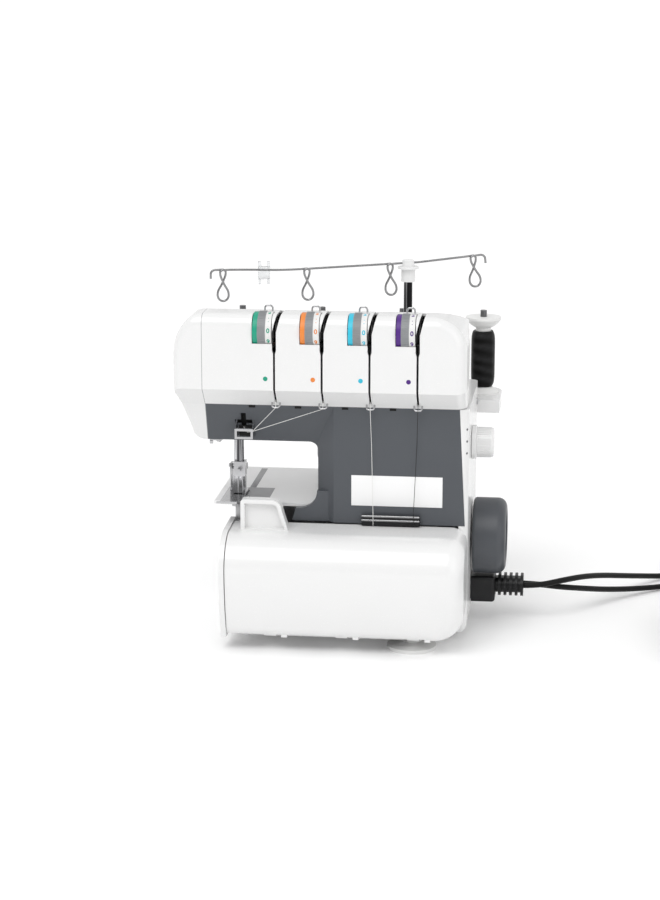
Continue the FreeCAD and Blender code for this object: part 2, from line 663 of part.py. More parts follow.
def side_plate():
    """White side door below the bed: follows the cover profile, is notched under the needles and
    swings on a rear upright pin."""
    body = new_body("side_leaf")
    grow = s.plate_grow
    top = s.bed_z - s.bed_thick - s.part_gap
    back = s.side_hinge_y - s.barrel_r - s.leaf_gap
    pad(body, sketch(body, "YZ_Plane", [
        (s.cover_low_y - grow, s.cover_low_z, s.belly_r + grow), (back, s.cover_low_z), (back, top),
        (s.notch_back, top), (s.notch_back, s.notch_z), (s.plate_step_y, s.notch_z),
        (s.plate_step_y, s.cover_top + grow),
        (s.shoulder_y, s.bulge_z + s.shoulder_r + grow),
        (s.cover_front - grow, s.bulge_z, s.shoulder_r + grow)], s.plate_left), s.plate_thick)
    pad(body, sketch(body, "XY_Plane", [
        (s.plate_left, back - s.leaf_lap), (s.plate_left + s.plate_thick, back - s.leaf_lap),
        (s.plate_left + s.plate_thick, s.side_hinge_y), (s.plate_left, s.side_hinge_y)],
        s.barrel_low), s.barrel_high - s.barrel_low)
    barrel = rod("side_barrel", s.barrel_r, s.barrel_high - s.barrel_low, s.side_hinge_x,
                 s.side_hinge_y, s.barrel_low)
    hole = rod("side_barrel_hole", s.side_pin_r + s.run_fit, s.barrel_high - s.barrel_low + s.overcut * 2,
               s.side_hinge_x, s.side_hinge_y, s.barrel_low - s.overcut)
    node(bored("side_plate", fused("side_leaf_barrel", [body, barrel]), [hole]))


def side_knuckles():
    """Two lugs on the rear cover that hold its upright pin."""
    lugs = []
    for z in (s.barrel_low - s.part_gap - s.knuckle, s.barrel_high + s.part_gap):
        lugs.append(rod("side_knuckle", s.barrel_r, s.knuckle, s.side_hinge_x, s.side_hinge_y, z))
        lugs.append(block("side_knuckle_arm", s.side_hinge_x, s.side_hinge_y - s.knuckle_arm / 2, z,
                          s.base_left - s.side_hinge_x + s.wall, s.knuckle_arm, s.knuckle))
    return lugs


BASE = {
    "foot_r": 21.5, "foot_x": 66, "foot_front_y": -92, "foot_left_y": -26, "foot_back_y": 44,
    "foot_neck_r": 9, "foot_neck_long": 1, "foot_rim": 3.2, "foot_dish": 17, "foot_dish_deep": 1.6,
    "base_corner": 10, "front_gap": 1.5,
}
sizes(BASE)


def base_tray():
    """White floor pan with a rim, and the front lugs that carry the hinge rod of the looper cover."""
    body = new_body("base_pan")
    front_right = s.cover_right - s.cover_end / 2 - s.cover_corner - s.front_gap
    pad(body, sketch(body, "XY_Plane", [
        (s.base_left, s.base_front), (front_right, s.base_front), (front_right, s.panel_y),
        (s.panel_right, s.panel_y), (s.panel_right, s.body_back), (s.base_left, s.body_back)],
        s.base_under), s.base_rim - s.base_under)
    middle = (s.base_under + s.base_rim) / 2
    round_edges(body, s.base_corner, [(s.base_left, s.base_front, middle),
                                      (front_right, s.base_front, middle)])
    w, r = s.wall, s.base_corner
    cut(body, sketch(body, "XY_Plane", [
        (s.base_left + w, s.base_front + r), (s.base_left + r, s.base_front + w),
        (front_right - r, s.base_front + w), (front_right - w, s.base_front + r),
        (front_right - w, s.panel_y + w), (s.panel_right - w, s.panel_y + w),
        (s.panel_right - w, s.body_back - w), (s.base_left + w, s.body_back - w)],
        s.base_floor), s.base_rim - s.base_floor + s.overcut)
    for x in lug_xs():
        pad(body, sketch(body, "YZ_Plane", [
            (s.hinge_y, s.hinge_z - s.lug_r, s.lug_r), (s.base_front + s.lug_r, s.base_under),
            (s.base_front + s.lug_r, s.base_rim), (s.hinge_y, s.hinge_z + s.lug_r),
            (s.hinge_y - s.lug_r, s.hinge_z, s.lug_r)], x), s.lug_wide)
    hole = rod("hinge_rod_hole", s.hinge_r + s.run_fit, s.lug_pitch * 2 + s.lug_wide + s.overcut * 2,
               s.lug_first - s.overcut, s.hinge_y, s.hinge_z, (1, 0, 0))
    node(bored("base_tray", body, [hole]))


def suction_feet():
    """Four soft feet: a cupped disc on a neck under the base."""
    feet = []
    for i, (x, y) in enumerate([(-s.foot_x, s.foot_left_y), (s.foot_x, s.foot_front_y),
                                (-s.foot_x, s.foot_back_y), (s.foot_x, s.foot_back_y)]):
        feet.append(turned(f"foot_{i + 1}", [
            (0, s.foot_dish_deep), (s.foot_dish, 0), (s.foot_r, 0), (s.foot_r, s.foot_rim),
            (s.foot_neck_r, s.base_under - s.foot_neck_long), (s.foot_neck_r, s.base_under),
            (0, s.base_under)], x, y, 0))
    node(group("suction_feet", feet))


# Cast frame: base flange, column post, arm beam with the bar bores, and two shaft pillars.
FRAME = {
    "frame_left": -84, "frame_right": 96, "frame_front": -52, "frame_back": 58, "flange": 5,
    "post_left": 16, "post_right": 48, "post_back": -24, "beam_left": -110, "beam_back": -18,
    "beam_low": 181, "pillar_wide": 12, "pillar_left": -66, "pillar_right": 70, "pillar_half": 15,
    "pillar_top": 94, "bearing_r": 11, "bearing_wide": 8, "bearing_inset": 2, "bar_fit": 0.06,
    "frame_fillet": 6, "bore_over": 10,
}
sizes(FRAME)


def main_frame():
    """Aluminium casting that carries the shaft, the motor and the needle and presser bars."""
    body = new_body("frame_casting")
    floor = s.base_floor + s.flange

    def lump(left, right, front, back, low, high):
        pad(body, sketch(body, "XY_Plane", [
            (left, front), (right, front), (right, back), (left, back)], low), high - low)

    lump(s.frame_left, s.frame_right, s.frame_front, s.frame_back, s.base_floor, floor)
    lump(s.post_left, s.post_right, s.frame_front, s.post_back, floor, s.panel_top)
    lump(s.beam_left, s.post_right, s.frame_front, s.beam_back, s.beam_low, s.panel_top)
    for left in (s.pillar_left, s.pillar_right):
        lump(left, left + s.pillar_wide, s.shaft_y - s.pillar_half, s.shaft_y + s.pillar_half,
             floor, s.pillar_top)
    middle = (s.frame_front + s.post_back) / 2
    round_edges(body, s.frame_fillet, [
        (s.post_left, middle, s.beam_low), (s.post_left, middle, floor), (s.post_right, middle, floor)])
    bore_low, bore_long = s.beam_low - s.bore_over, s.panel_top - s.beam_low + s.bore_over * 2
    bores = [
        rod("needle_bore", s.needle_bar_r + s.bar_fit, bore_long, s.needle_x, s.needle_y, bore_low),
        rod("presser_bore", s.presser_bar_r + s.bar_fit, bore_long, s.presser_x, s.presser_y, bore_low),
        rod("bearing_bore", s.bearing_r, s.pillar_right + s.pillar_wide - s.pillar_left + s.bore_over * 2,
            s.pillar_left - s.bore_over, s.shaft_y, s.shaft_z, (1, 0, 0))]
    node(bored("main_frame", body, bores))


def shaft_bearings():
    rings = []
    for i, left in enumerate((s.pillar_left, s.pillar_right)):
        rings.append(turned(f"bearing_{i + 1}", [
            (s.shaft_r + s.run_fit, 0), (s.bearing_r, 0), (s.bearing_r, s.bearing_wide),
            (s.shaft_r + s.run_fit, s.bearing_wide)],
            left + s.bearing_inset, s.shaft_y, s.shaft_z, (1, 0, 0)))
    node(group("shaft_bearings", rings))


# Bed: cloth plate, steel needle plate with slots, feed dogs below it, fixed knife at its front.
BED = {
    "bed_left": -112, "bed_front": -60, "bed_over": 4, "needle_plate_left": -106,
    "needle_plate_right": -65, "needle_plate_back": -9, "needle_pitch": 4, "needle_r": 0.5,
    "needle_slot_deep": 3.2, "dog_wide": 2.2, "dog_pitch": 5.4, "dog_first": -100, "dog_front": -36,
    "dog_long": 13, "dog_low": 107, "dog_block_top": 112.5, "dog_top": 117.6, "dog_gap": 0.6,
    "dog_travel": 2.5, "knife_wide": 3, "knife_deep": 2.4, "lower_knife_x": -86, "knife_low": 98,
    "dog_teeth": 5, "dog_root": 1, "tooth_lean": 0.9, "tooth_deep": 1.2,
}
sizes(BED)


def bed_plate():
    body = new_body("cloth_plate")
    under = s.bed_z - s.bed_thick
    pad(body, sketch(body, "XY_Plane", [
        (s.bed_left, s.bed_front), (s.needle_plate_left, s.bed_front),
        (s.needle_plate_left, s.needle_plate_back), (s.needle_plate_right, s.needle_plate_back),
        (s.needle_plate_right, s.bed_front), (s.column_left, s.bed_front),
        (s.column_left, s.body_back + s.bed_over), (s.bed_left, s.body_back + s.bed_over)],
        under), s.bed_thick)
    node(body)


def dog_x(i):
    return s.dog_first + s.dog_pitch * i


def needle_plate():
    """Steel plate with the needle slot and one slot for each feed dog row."""
    body = new_body("needle_plate")
    under = s.bed_z - s.bed_thick
    pad(body, sketch(body, "XY_Plane", [
        (s.needle_plate_left, s.bed_front), (s.needle_plate_right, s.bed_front),
        (s.needle_plate_right, s.needle_plate_back), (s.needle_plate_left, s.needle_plate_back)],
        under), s.bed_thick)

    def slot(left, right, front, back):
        cut(body, sketch(body, "XY_Plane", [
            (left, front), (right, front), (right, back), (left, back)], under - s.overcut),
            s.bed_thick + s.overcut * 2)

    slot(s.needle_x - s.needle_pitch, s.needle_x + s.needle_pitch,
         s.needle_y - s.needle_slot_deep / 2, s.needle_y + s.needle_slot_deep / 2)
    for i in range(3):
        slot(dog_x(i) - s.dog_gap, dog_x(i) + s.dog_wide + s.dog_gap,
             s.dog_front - s.dog_travel - s.dog_gap,
             s.dog_front + s.dog_long + s.dog_travel + s.dog_gap)
    node(body)


def feed_dogs():
    """Carrier block with three toothed rows that rise into the plate slots."""
    body = new_body("feed_dogs")
    pad(body, sketch(body, "XY_Plane", [
        (dog_x(0), s.dog_front), (dog_x(2) + s.dog_wide, s.dog_front),
        (dog_x(2) + s.dog_wide, s.dog_front + s.dog_long), (dog_x(0), s.dog_front + s.dog_long)],
        s.dog_low), s.dog_block_top - s.dog_low)
    step = s.dog_long / s.dog_teeth
    root = s.dog_block_top - s.dog_root
    for i in range(3):
        outline = [(s.dog_front, root), (s.dog_front + s.dog_long, root)]
        for k in range(int(number(s.dog_teeth))):
            back = s.dog_front + s.dog_long - step * k
            outline += [(back, s.dog_top), (back - step * s.tooth_lean, s.dog_top - s.tooth_deep)]
        pad(body, sketch(body, "YZ_Plane", outline, dog_x(i)), s.dog_wide)
    node(body)


def lower_knife():
    """Fixed trimming blade on the front edge of the needle plate."""
    node(block("lower_knife", s.lower_knife_x, s.bed_front - s.knife_deep, s.knife_low,
               s.knife_wide, s.knife_deep, s.bed_z - s.knife_low))


# Inner plate behind the loopers; looper and knife shafts turn in it.
LOOPERS = {
    "inner_left": -84, "inner_right": 101, "inner_thick": 2, "looper_shaft_r": 4, "low_pivot_x": -50,
    "low_pivot_z": 45, "up_pivot_x": -28, "up_pivot_z": 42, "cut_pivot_x": -14, "cut_pivot_z": 84,
    "shaft_tail": -16, "blade_thick": 3, "low_blade_y": -40, "up_blade_y": -56, "cut_blade_y": -66,
    "low_tip_x": -82, "low_tip_z": 97, "up_tip_x": -76, "up_tip_z": 101, "cut_tip_x": -82.5,
    "cut_tip_z": 125, "hub_r": 8,
}
sizes(LOOPERS)


def inner_plate():
    body = new_body("inner_wall")
    floor, bed = s.base_floor + s.flange, s.bed_z - s.bed_thick
    pad(body, sketch(body, "XZ_Plane", [
        (s.inner_left, floor), (s.inner_right, floor), (s.inner_right, s.panel_under),
        (s.column_left, s.panel_under), (s.column_left, bed), (s.inner_left, bed)],
        -(s.post_back + s.inner_thick)), s.inner_thick)
    holes = [rod(f"pivot_hole_{i + 1}", s.looper_shaft_r + s.run_fit, s.inner_thick + s.overcut * 2, x,
                 s.post_back - s.overcut, z, (0, 1, 0))
             for i, (x, z) in enumerate(looper_pivots())]
    node(bored("inner_plate", body, holes))


def looper_pivots():
    return [(s.low_pivot_x, s.low_pivot_z), (s.up_pivot_x, s.up_pivot_z),
            (s.cut_pivot_x, s.cut_pivot_z)]


def looper(label, pivot, front, outline):
    """Flat forged arm with a pointed blade, on a round shaft through the inner plate."""
    body = new_body(label + "_arm")
    pad(body, sketch(body, "XZ_Plane", outline, -(front + s.blade_thick)), s.blade_thick)
    x, z = pivot
    hub = rod(label + "_hub", s.hub_r, s.post_back - s.part_gap - front, x, front, z, (0, 1, 0))
    tail = rod(label + "_shaft", s.looper_shaft_r, s.shaft_tail - front, x, front, z, (0, 1, 0))
    node(fused(label, [body, hub, tail]))


def off(spot, *steps):
    """Points at the given steps from a spot."""
    return [(spot[0] + dx, spot[1] + dz) for dx, dz in steps]


def loopers():
    """Two hooked loopers and the swinging knife, each outlined from its pivot and its tip."""
    low, up, knife = looper_pivots()
    tip = s.low_tip_x, s.low_tip_z
    looper("lower_looper", low, s.low_blade_y, off(low, (-5, -5), (5, -4), (2, 30)) + off(
        tip, (20, 1), (0, 0.6), (0, -0.6), (18, -4)) + off(low, (-7, 30)))
    tip = s.up_tip_x, s.up_tip_z
    looper("upper_looper", up, s.up_blade_y, off(up, (-5, -5), (5, -4), (-4, 34)) + off(
        tip, (16, -12), (5, -2), (0, 0), (2, -6), (12, -18)) + off(up, (-12, 26)))
    x, z = knife
    looper("upper_knife", knife, s.cut_blade_y, [
        (x + 5, z - 6), (x + 5, z + 6), (s.cut_tip_x + s.knife_wide + 6, z + 14),
        (s.cut_tip_x + s.knife_wide, s.cut_tip_z - 22), (s.cut_tip_x + s.knife_wide, s.cut_tip_z),
        (s.cut_tip_x, s.cut_tip_z - 3), (s.cut_tip_x, z + 6), (s.cut_tip_x + 12, z + 2)])


# Drive: handwheel and pulley on the main shaft, a belt, and the motor behind.
DRIVE = {
    "shaft_left": -72, "wheel_hub_r": 11, "wheel_dish_r": 20, "wheel_dish": 3, "wheel_soft": 8,
    "pulley_left": 88, "pulley_wide": 9, "pulley_r": 18, "flange_r": 1.5, "motor_y": 34, "motor_z": 46,
    "motor_r": 26, "motor_left": -6, "motor_long": 70, "motor_shaft_r": 4, "motor_pulley_r": 8,
    "belt_thick": 2.2, "belt_wide": 6, "belt_gap": 0.3, "belt_left": 89.5, "motor_foot_wide": 46,
    "motor_foot_deep": 36, "hub_cap": 6, "hub_soft": 1, "wheel_back_r": 3, "flange_thick": 1,
    "flange_slope": 0.2, "motor_soft": 4, "motor_bore_deep": 24, "rotor_gap": 2,
}
sizes(DRIVE)


def drive_train():
    """Main shaft with handwheel and pulley; they turn together."""
    end = s.wheel_face - s.hub_cap
    spindle = rod("shaft_bar", s.shaft_r, end - s.shaft_left, s.shaft_left, s.shaft_y, s.shaft_z,
                  (1, 0, 0))
    back = s.side_right + s.wheel_gap
    wide = s.wheel_face - back
    soft, edge = s.wheel_soft, s.wheel_back_r
    node(turned("handwheel", [
        (s.shaft_r, 0), (s.wheel_r - edge, 0), (s.wheel_r, edge, edge), (s.wheel_r, wide - soft),
        (s.wheel_r - soft, wide, soft), (s.wheel_dish_r + s.wheel_dish, wide),
        (s.wheel_dish_r, wide - s.wheel_dish), (s.wheel_hub_r, wide - s.wheel_dish),
        (s.wheel_hub_r - s.hub_soft, wide - s.hub_soft), (0, wide - s.hub_soft), (0, wide - s.hub_cap),
        (s.shaft_r, wide - s.hub_cap)],
        back, s.shaft_y, s.shaft_z, (1, 0, 0)))
    pulley = turned("drive_pulley", pulley_steps(s.pulley_r, s.shaft_r), s.pulley_left, s.shaft_y,
                    s.shaft_z, (1, 0, 0))
    node(group("main_shaft", [spindle, pulley]))


def pulley_steps(radius, bore):
    rim, wide = radius + s.flange_r, s.pulley_wide
    thick, root = s.flange_thick, s.flange_thick + s.flange_slope
    return [(bore, 0), (rim, 0), (rim, thick), (radius, root), (radius, wide - root), (rim, wide - thick),
            (rim, wide), (bore, wide)]


def motor():
    soft = s.motor_soft
    case = turned("motor_case", [
        (0, 0), (s.motor_r - soft, 0), (s.motor_r, soft, soft), (s.motor_r, s.motor_long - soft),
        (s.motor_r - soft, s.motor_long, soft), (0, s.motor_long)],
        s.motor_left, s.motor_y, s.motor_z, (1, 0, 0))
    floor = s.base_floor + s.flange
    foot = block("motor_foot", s.motor_left + s.motor_long / 2 - s.motor_foot_wide / 2,
                 s.motor_y - s.motor_foot_deep / 2, floor, s.motor_foot_wide, s.motor_foot_deep,
                 s.motor_z - s.motor_r / 2 - floor)
    tail = s.motor_left + s.motor_long - s.motor_bore_deep
    bore = rod("motor_bore", s.motor_shaft_r + s.run_fit, s.motor_bore_deep + s.overcut, tail, s.motor_y,
               s.motor_z, (1, 0, 0))
    node(bored("motor", fused("motor_on_foot", [case, foot]), [bore]))
    start = tail + s.rotor_gap
    spindle = rod("motor_spindle", s.motor_shaft_r, s.pulley_left + s.pulley_wide - start, start,
                  s.motor_y, s.motor_z, (1, 0, 0))
    pulley = turned("motor_pulley", pulley_steps(s.motor_pulley_r, 0), s.pulley_left, s.motor_y,
                    s.motor_z, (1, 0, 0))
    node(fused("motor_rotor", [spindle, pulley]))


def belt_wire(grow):
    """Loop round both pulleys, at a distance from their faces."""
    a = V(number(s.belt_left), number(s.shaft_y), number(s.shaft_z))
    b = V(number(s.belt_left), number(s.motor_y), number(s.motor_z))
    ra, rb = number(s.pulley_r) + grow, number(s.motor_pulley_r) + grow
    along = (b - a).normalize()
    across = V(1, 0, 0).cross(along)
    tilt = math.acos((ra - rb) / (b - a).Length)

    def ray(angle):
        return along * math.cos(angle) + across * math.sin(angle)

    first = Part.LineSegment(a + ray(tilt) * ra, b + ray(tilt) * rb)
    second = Part.LineSegment(b + ray(-tilt) * rb, a + ray(-tilt) * ra)
    small = Part.Arc(b + ray(tilt) * rb, b + along * rb, b + ray(-tilt) * rb)
    large = Part.Arc(a + ray(-tilt) * ra, a - along * ra, a + ray(tilt) * ra)
    return Part.Wire([edge.toShape() for edge in (first, small, second, large)])


def drive_belt():
    inner = number(s.belt_gap)
    ring = Part.Face(belt_wire(inner + number(s.belt_thick))).cut(Part.Face(belt_wire(inner)))
    thing = doc.addObject("Part::Feature", "drive_belt")
    thing.Shape = ring.extrude(V(number(s.belt_wide), 0, 0))
    node(thing)


KNOB_AND_PLUG = {
    "knob_stem_tail": 105, "knob_flange": 3.5, "knob_grip_r": 13, "knob_soft": 2, "knob_clear": 0.4,
    "plug_near": 112.4, "plug_far": 134, "plug_wide": 28, "plug_low": 19, "plug_high": 42.5,
    "plug_soft": 3, "relief_far": 159, "relief_high": 19, "relief_z": 33, "relief_ribs": 5,
    "relief_rib": 2.4, "relief_groove": 2.8, "lead_pitch": 6.4, "lead_d": 5.2, "rocker_out": 3.4,
    "rocker_pin_r": 1.5, "rocker_gap": 0.4, "rocker_wall": 1.4, "knob_step": 1, "switch_rim": 1.2,
    "switch_floor": 1.5, "pin_sink": 0.5, "rocker_axis": 2, "rocker_room": 0.8, "rocker_deep": 4,
    "rocker_taper": 3, "rocker_dip": 2,
}
sizes(KNOB_AND_PLUG)


def stitch_dial():
    """White stitch-length knob with a flange, on a stem through the right cover."""
    start = s.side_right + s.knob_clear - s.knob_stem_tail
    end = s.knob_face - s.knob_stem_tail
    soft = s.knob_soft
    node(turned("stitch_dial", [
        (0, 0), (s.knob_stem_r, 0), (s.knob_stem_r, start), (s.knob_r, start),
        (s.knob_r, start + s.knob_flange), (s.knob_grip_r, start + s.knob_flange + s.knob_step),
        (s.knob_grip_r, end - soft), (s.knob_grip_r - soft, end, soft), (0, end)],
        s.knob_stem_tail, s.knob_y, s.knob_z, (1, 0, 0)))


def mains_inlet():
    """Black socket body set in the right cover."""
    node(block("mains_inlet", s.panel_right, s.inlet_y - s.inlet_wide / 2, s.inlet_z - s.inlet_high / 2,
               s.plug_near - s.panel_right, s.inlet_wide, s.inlet_high))


def connector_plug():
    """Moulded plug block against the socket, with a ribbed oval boot for both leads."""
    body = new_body("connector_plug")
    half = s.plug_wide / 2
    y, z = s.inlet_y, s.relief_z
    pad(body, sketch(body, "YZ_Plane", [
        (y - half, s.plug_low), (y + half, s.plug_low), (y + half, s.plug_high),
        (y - half, s.plug_high)], s.plug_near), s.plug_far - s.plug_near)
    middle = (s.plug_near + s.plug_far) / 2
    round_edges(body, s.plug_soft, [
        (s.plug_far, y - half, z), (s.plug_far, y + half, z), (s.plug_far, y, s.plug_low),
        (s.plug_far, y, s.plug_high), (middle, y - half, s.plug_high),
        (middle, y + half, s.plug_high), (middle, y - half, s.plug_low),
        (middle, y + half, s.plug_low)])
    gap = s.lead_pitch / 2

    def pill(r, start, length):
        pad(body, sketch(body, "YZ_Plane", [
            (y - gap, z - r, r), (y + gap, z - r), (y + gap + r, z, r), (y + gap, z + r, r),
            (y - gap, z + r), (y - gap - r, z, r)], start), length)

    length = s.relief_far - s.plug_far
    high = s.relief_high / 2
    pill(high - s.relief_groove, s.plug_far, length)
    step = length / s.relief_ribs
    for i in range(int(number(s.relief_ribs))):
        pill(high, s.plug_far + step * (i + 1) - s.relief_rib, s.relief_rib)
    node(body)


def power_switch():
    """Rocker in a black frame; the rocker tips about a lengthwise pin."""
    x0, half_y, half_z = s.panel_right, s.switch_wide / 2, s.switch_high / 2
    frame = block("switch_outer", x0, s.switch_y - half_y, s.switch_z - half_z,
                  s.side_right + s.switch_rim - x0, s.switch_wide, s.switch_high)
    wall, axis_x = s.rocker_wall, s.side_right - s.rocker_axis
    well = block("switch_well", x0 + s.switch_floor, s.switch_y - half_y + wall, s.switch_z - half_z + wall,
                 s.side_right - x0 + s.overcut, s.switch_wide - wall * 2, s.switch_high - wall * 2)
    pin = rod("switch_pin", s.rocker_pin_r, s.switch_wide - s.pin_sink * 2, axis_x,
              s.switch_y - half_y + s.pin_sink, s.switch_z, (0, 1, 0))
    node(fused("switch_frame", [bored("switch_box", frame, [well]), pin]))
    body = new_body("rocker_keycap")
    gap = wall + s.rocker_gap
    reach = half_z - gap - s.rocker_room
    low, high = s.switch_z - reach, s.switch_z + reach
    face, root = s.side_right + s.rocker_out, s.side_right - s.rocker_deep
    pad(body, sketch(body, "XZ_Plane", [
        (root, low + s.rocker_taper), (face, low), (face - s.rocker_dip, s.switch_z), (face, high),
        (root, high - s.rocker_taper)], -(s.switch_y + half_y - gap)), s.switch_wide - gap * 2)
    hole = rod("rocker_hole", s.rocker_pin_r + s.run_fit, s.switch_wide + s.overcut * 2, axis_x,
               s.switch_y - half_y - s.overcut, s.switch_z, (0, 1, 0))
    node(bored("switch_rocker", body, [hole]))


# Spool stand behind the machine: tray, pins, seats, spools, caps and the telescopic thread pole.
STAND = {
    "stand_half": 132, "stand_back": 130, "stand_low": 176, "stand_top": 188, "stand_round": 20,
    "spool_first": -110.5, "spool_pitch": 75, "spool_y": 100, "pin_r": 3, "pin_top": 265.5, "seat_r": 15,
    "seat_high": 6.5, "spool_r": 11, "spool_high": 52, "cap_rim_r": 16.5, "cap_neck_r": 7, "cap_high": 13,
    "pole_x": 46, "pole_y": 80, "tube_r": 4, "tube_wall": 0.6, "tube_low": 120, "tube_clear": 1,
    "inner_low": 128, "slide_fit": 0.05, "guide_z": 311.2, "cap_drop": 17, "flange_drop": 5.9,
    "rim_drop": 3.2, "hub_over": 2.8, "cap_hub_r": 5.5, "rim_soft": 0.7, "pole_cap_r": 9.6,
    "pole_neck_r": 6.4, "stand_wall": 2.4, "socket_wall": 4, "socket_drop": 6, "seat_rim": 1.5,
    "seat_inset": 3, "spool_ease": 1.5, "spool_end": 3, "cap_neck_high": 3, "cap_rim": 2, "cap_curve": 1.6,
}
sizes(STAND)
s.pole_cap_low = s.guide_z - s.cap_drop
s.pole_cap_flange = s.guide_z - s.flange_drop
s.tube_top = s.pole_cap_low - s.tube_clear


def spool_x(i):
    return s.spool_first + s.spool_pitch * i


def spool_stand():
    """White tray behind the head, hollow below, with a socket for the pole."""
    body = new_body("stand_tray")
    half, front, back = s.stand_half, s.body_back, s.stand_back
    r = s.stand_round
    pad(body, sketch(body, "XY_Plane", [
        (-half, front), (half, front), (half, back - r), (half - r, back, r), (r - half, back),
        (-half, back - r, r)], s.stand_low), s.stand_top - s.stand_low)
    w = s.stand_wall
    cut(body, sketch(body, "XY_Plane", [
        (w - half, front + w), (half - w, front + w), (half - w, back - r), (half - r, back - w, r - w),
        (r - half, back - w), (w - half, back - r, r - w)], s.stand_low - s.overcut),
        s.stand_top - s.stand_low - w + s.overcut)
    foot, over = s.stand_low - s.socket_drop, s.overcut
    socket = rod("pole_socket", s.tube_r + s.socket_wall, s.stand_top - foot, s.pole_x, s.pole_y, foot)
    holes = [rod("pole_hole", s.tube_r, s.stand_top - foot + over * 2, s.pole_x, s.pole_y, foot - over)]
    for i in range(4):
        holes.append(rod(f"spool_pin_hole_{i + 1}", s.pin_r, w + over * 2, spool_x(i), s.spool_y,
                         s.stand_top - w - over))
    node(bored("spool_stand", fused("tray_with_socket", [body, socket]), holes))


def spool_pins():
    node(group("spool_pins", [
        rod(f"spool_pin_{i + 1}", s.pin_r, s.pin_top - s.stand_top + s.stand_wall, spool_x(i),
            s.spool_y, s.stand_top - s.stand_wall) for i in range(4)]))


def spool_set():
    """Seat disc, wound spool and flared cap on every pin."""
    holders, spools = [], []
    bore = s.pin_r
    for i in range(4):
        x, y, z = spool_x(i), s.spool_y, s.stand_top
        holders.append(turned(f"seat_{i + 1}", [
            (bore, 0), (s.seat_r, 0), (s.seat_r, s.seat_rim), (s.spool_r - s.seat_inset, s.seat_high),
            (bore, s.seat_high)], x, y, z))
        low, high = s.seat_high, s.seat_high + s.spool_high
        spools.append(turned("black_spool" if i == 3 else f"white_spool_{i + 1}", [
            (bore, low), (s.spool_r - s.spool_ease, low), (s.spool_r, low + s.spool_end),
            (s.spool_r, high - s.spool_end), (s.spool_r - s.spool_ease, high), (bore, high)], x, y, z))
        holders.append(turned(f"cap_{i + 1}", [
            (bore, high), (s.cap_neck_r, high), (s.cap_neck_r, high + s.cap_neck_high),
            (s.cap_rim_r, high + s.cap_high - s.cap_rim, s.cap_high * s.cap_curve),
            (s.cap_rim_r, high + s.cap_high),
            (bore, high + s.cap_high)], x, y, z))
    node(group("spool_holders", holders))
    node(group("white_spools", spools[:3]))
    node(spools[3])


def thread_pole():
    """Outer tube in the tray socket, inner tube that slides in it, and the white guide cap."""
    wall = s.tube_wall
    inner = s.tube_r - wall - s.slide_fit
    node(turned("pole_outer_tube", [
        (s.tube_r - wall, 0), (s.tube_r, 0), (s.tube_r, s.tube_top - s.tube_low),
        (s.tube_r - wall, s.tube_top - s.tube_low)], s.pole_x, s.pole_y, s.tube_low))
    node(rod("pole_inner_tube", inner, s.pole_cap_flange - s.inner_low, s.pole_x, s.pole_y, s.inner_low))
    low, flange = 0, s.cap_drop - s.flange_drop
    rim, top, soft = s.cap_drop - s.rim_drop, s.cap_drop + s.hub_over, s.rim_soft
    cap = turned("pole_cap_solid", [
        (inner + s.run_fit, low), (s.pole_neck_r, low), (s.pole_neck_r, flange),
        (s.pole_cap_r, flange + soft),
        (s.pole_cap_r, rim - soft), (s.pole_cap_r - soft, rim, soft), (s.cap_hub_r, rim),
        (s.cap_hub_r, top - soft), (s.cap_hub_r - soft, top, soft), (0, top), (0, flange + s.run_fit),
        (inner + s.run_fit, flange + s.run_fit)], s.pole_x, s.pole_y, s.pole_cap_low)
    aim, climb = math.radians(number(s.guide_turn)), math.tan(math.radians(number(s.gentle_rise)))
    reach = number(s.pole_cap_r)
    along = V(math.cos(aim), math.sin(aim), climb).normalize()
    hole = rod("guide_wire_hole", s.wire_r, reach * 2, s.pole_x - reach * along.x,
               s.pole_y - reach * along.y, s.guide_z - reach * along.z, along)
    node(bored("pole_cap", cap, [hole]))


def biarc(p, tp, q, tq):
    """Two circular arcs that join p to q with the given end directions."""
    span, both = q - p, tp + tq
    slack = 2 * (1 - tp.dot(tq))
    ahead = span.dot(both)
    if slack < 1e-9:
        reach = span.dot(span) / (4 * span.dot(tp))
    else:
        reach = (math.sqrt(ahead * ahead + slack * span.dot(span)) - ahead) / slack
    middle = (p + q + (tp - tq) * reach) * 0.5
    return [arc_from(p, tp, middle), arc_from(q, tq * -1, middle, True)]


def arc_from(a, ta, b, flip=False):
    """Arc or line from a to b that leaves a along ta; flip gives it the other way round."""
    chord = b - a
    side = ta - chord * (ta.dot(chord) / chord.dot(chord))
    first, last = (b, a) if flip else (a, b)
    if side.Length < 1e-7:
        return Part.LineSegment(first, last).toShape()
    half = ta.getAngle(chord)
    middle = (a + b) * 0.5 + side.normalize() * (chord.Length / 2 * math.tan(half / 2))
    return Part.Arc(first, middle, last).toShape()


def tube(label, edges, start, aim, radius):
    """Round wire or lead swept along tangent edges."""
    ring = Part.Wire([Part.Circle(start, aim, radius).toShape()])
    thing = doc.addObject("Part::Feature", label)
    thing.Label = label
    thing.Shape = Part.Wire(edges).makePipeShell([ring], True, False)
    return thing


def through(knots):
    """Biarc edges through (point, direction) knots."""
    edges = []
    for (p, tp), (q, tq) in zip(knots, knots[1:]):
        straight = (q - p).normalize()
        if straight.dot(tp) > 0.9999999 and straight.dot(tq) > 0.9999999:
            edges.append(Part.LineSegment(p, q).toShape())
        else:
            edges += biarc(p, tp, q, tq)
    return edges


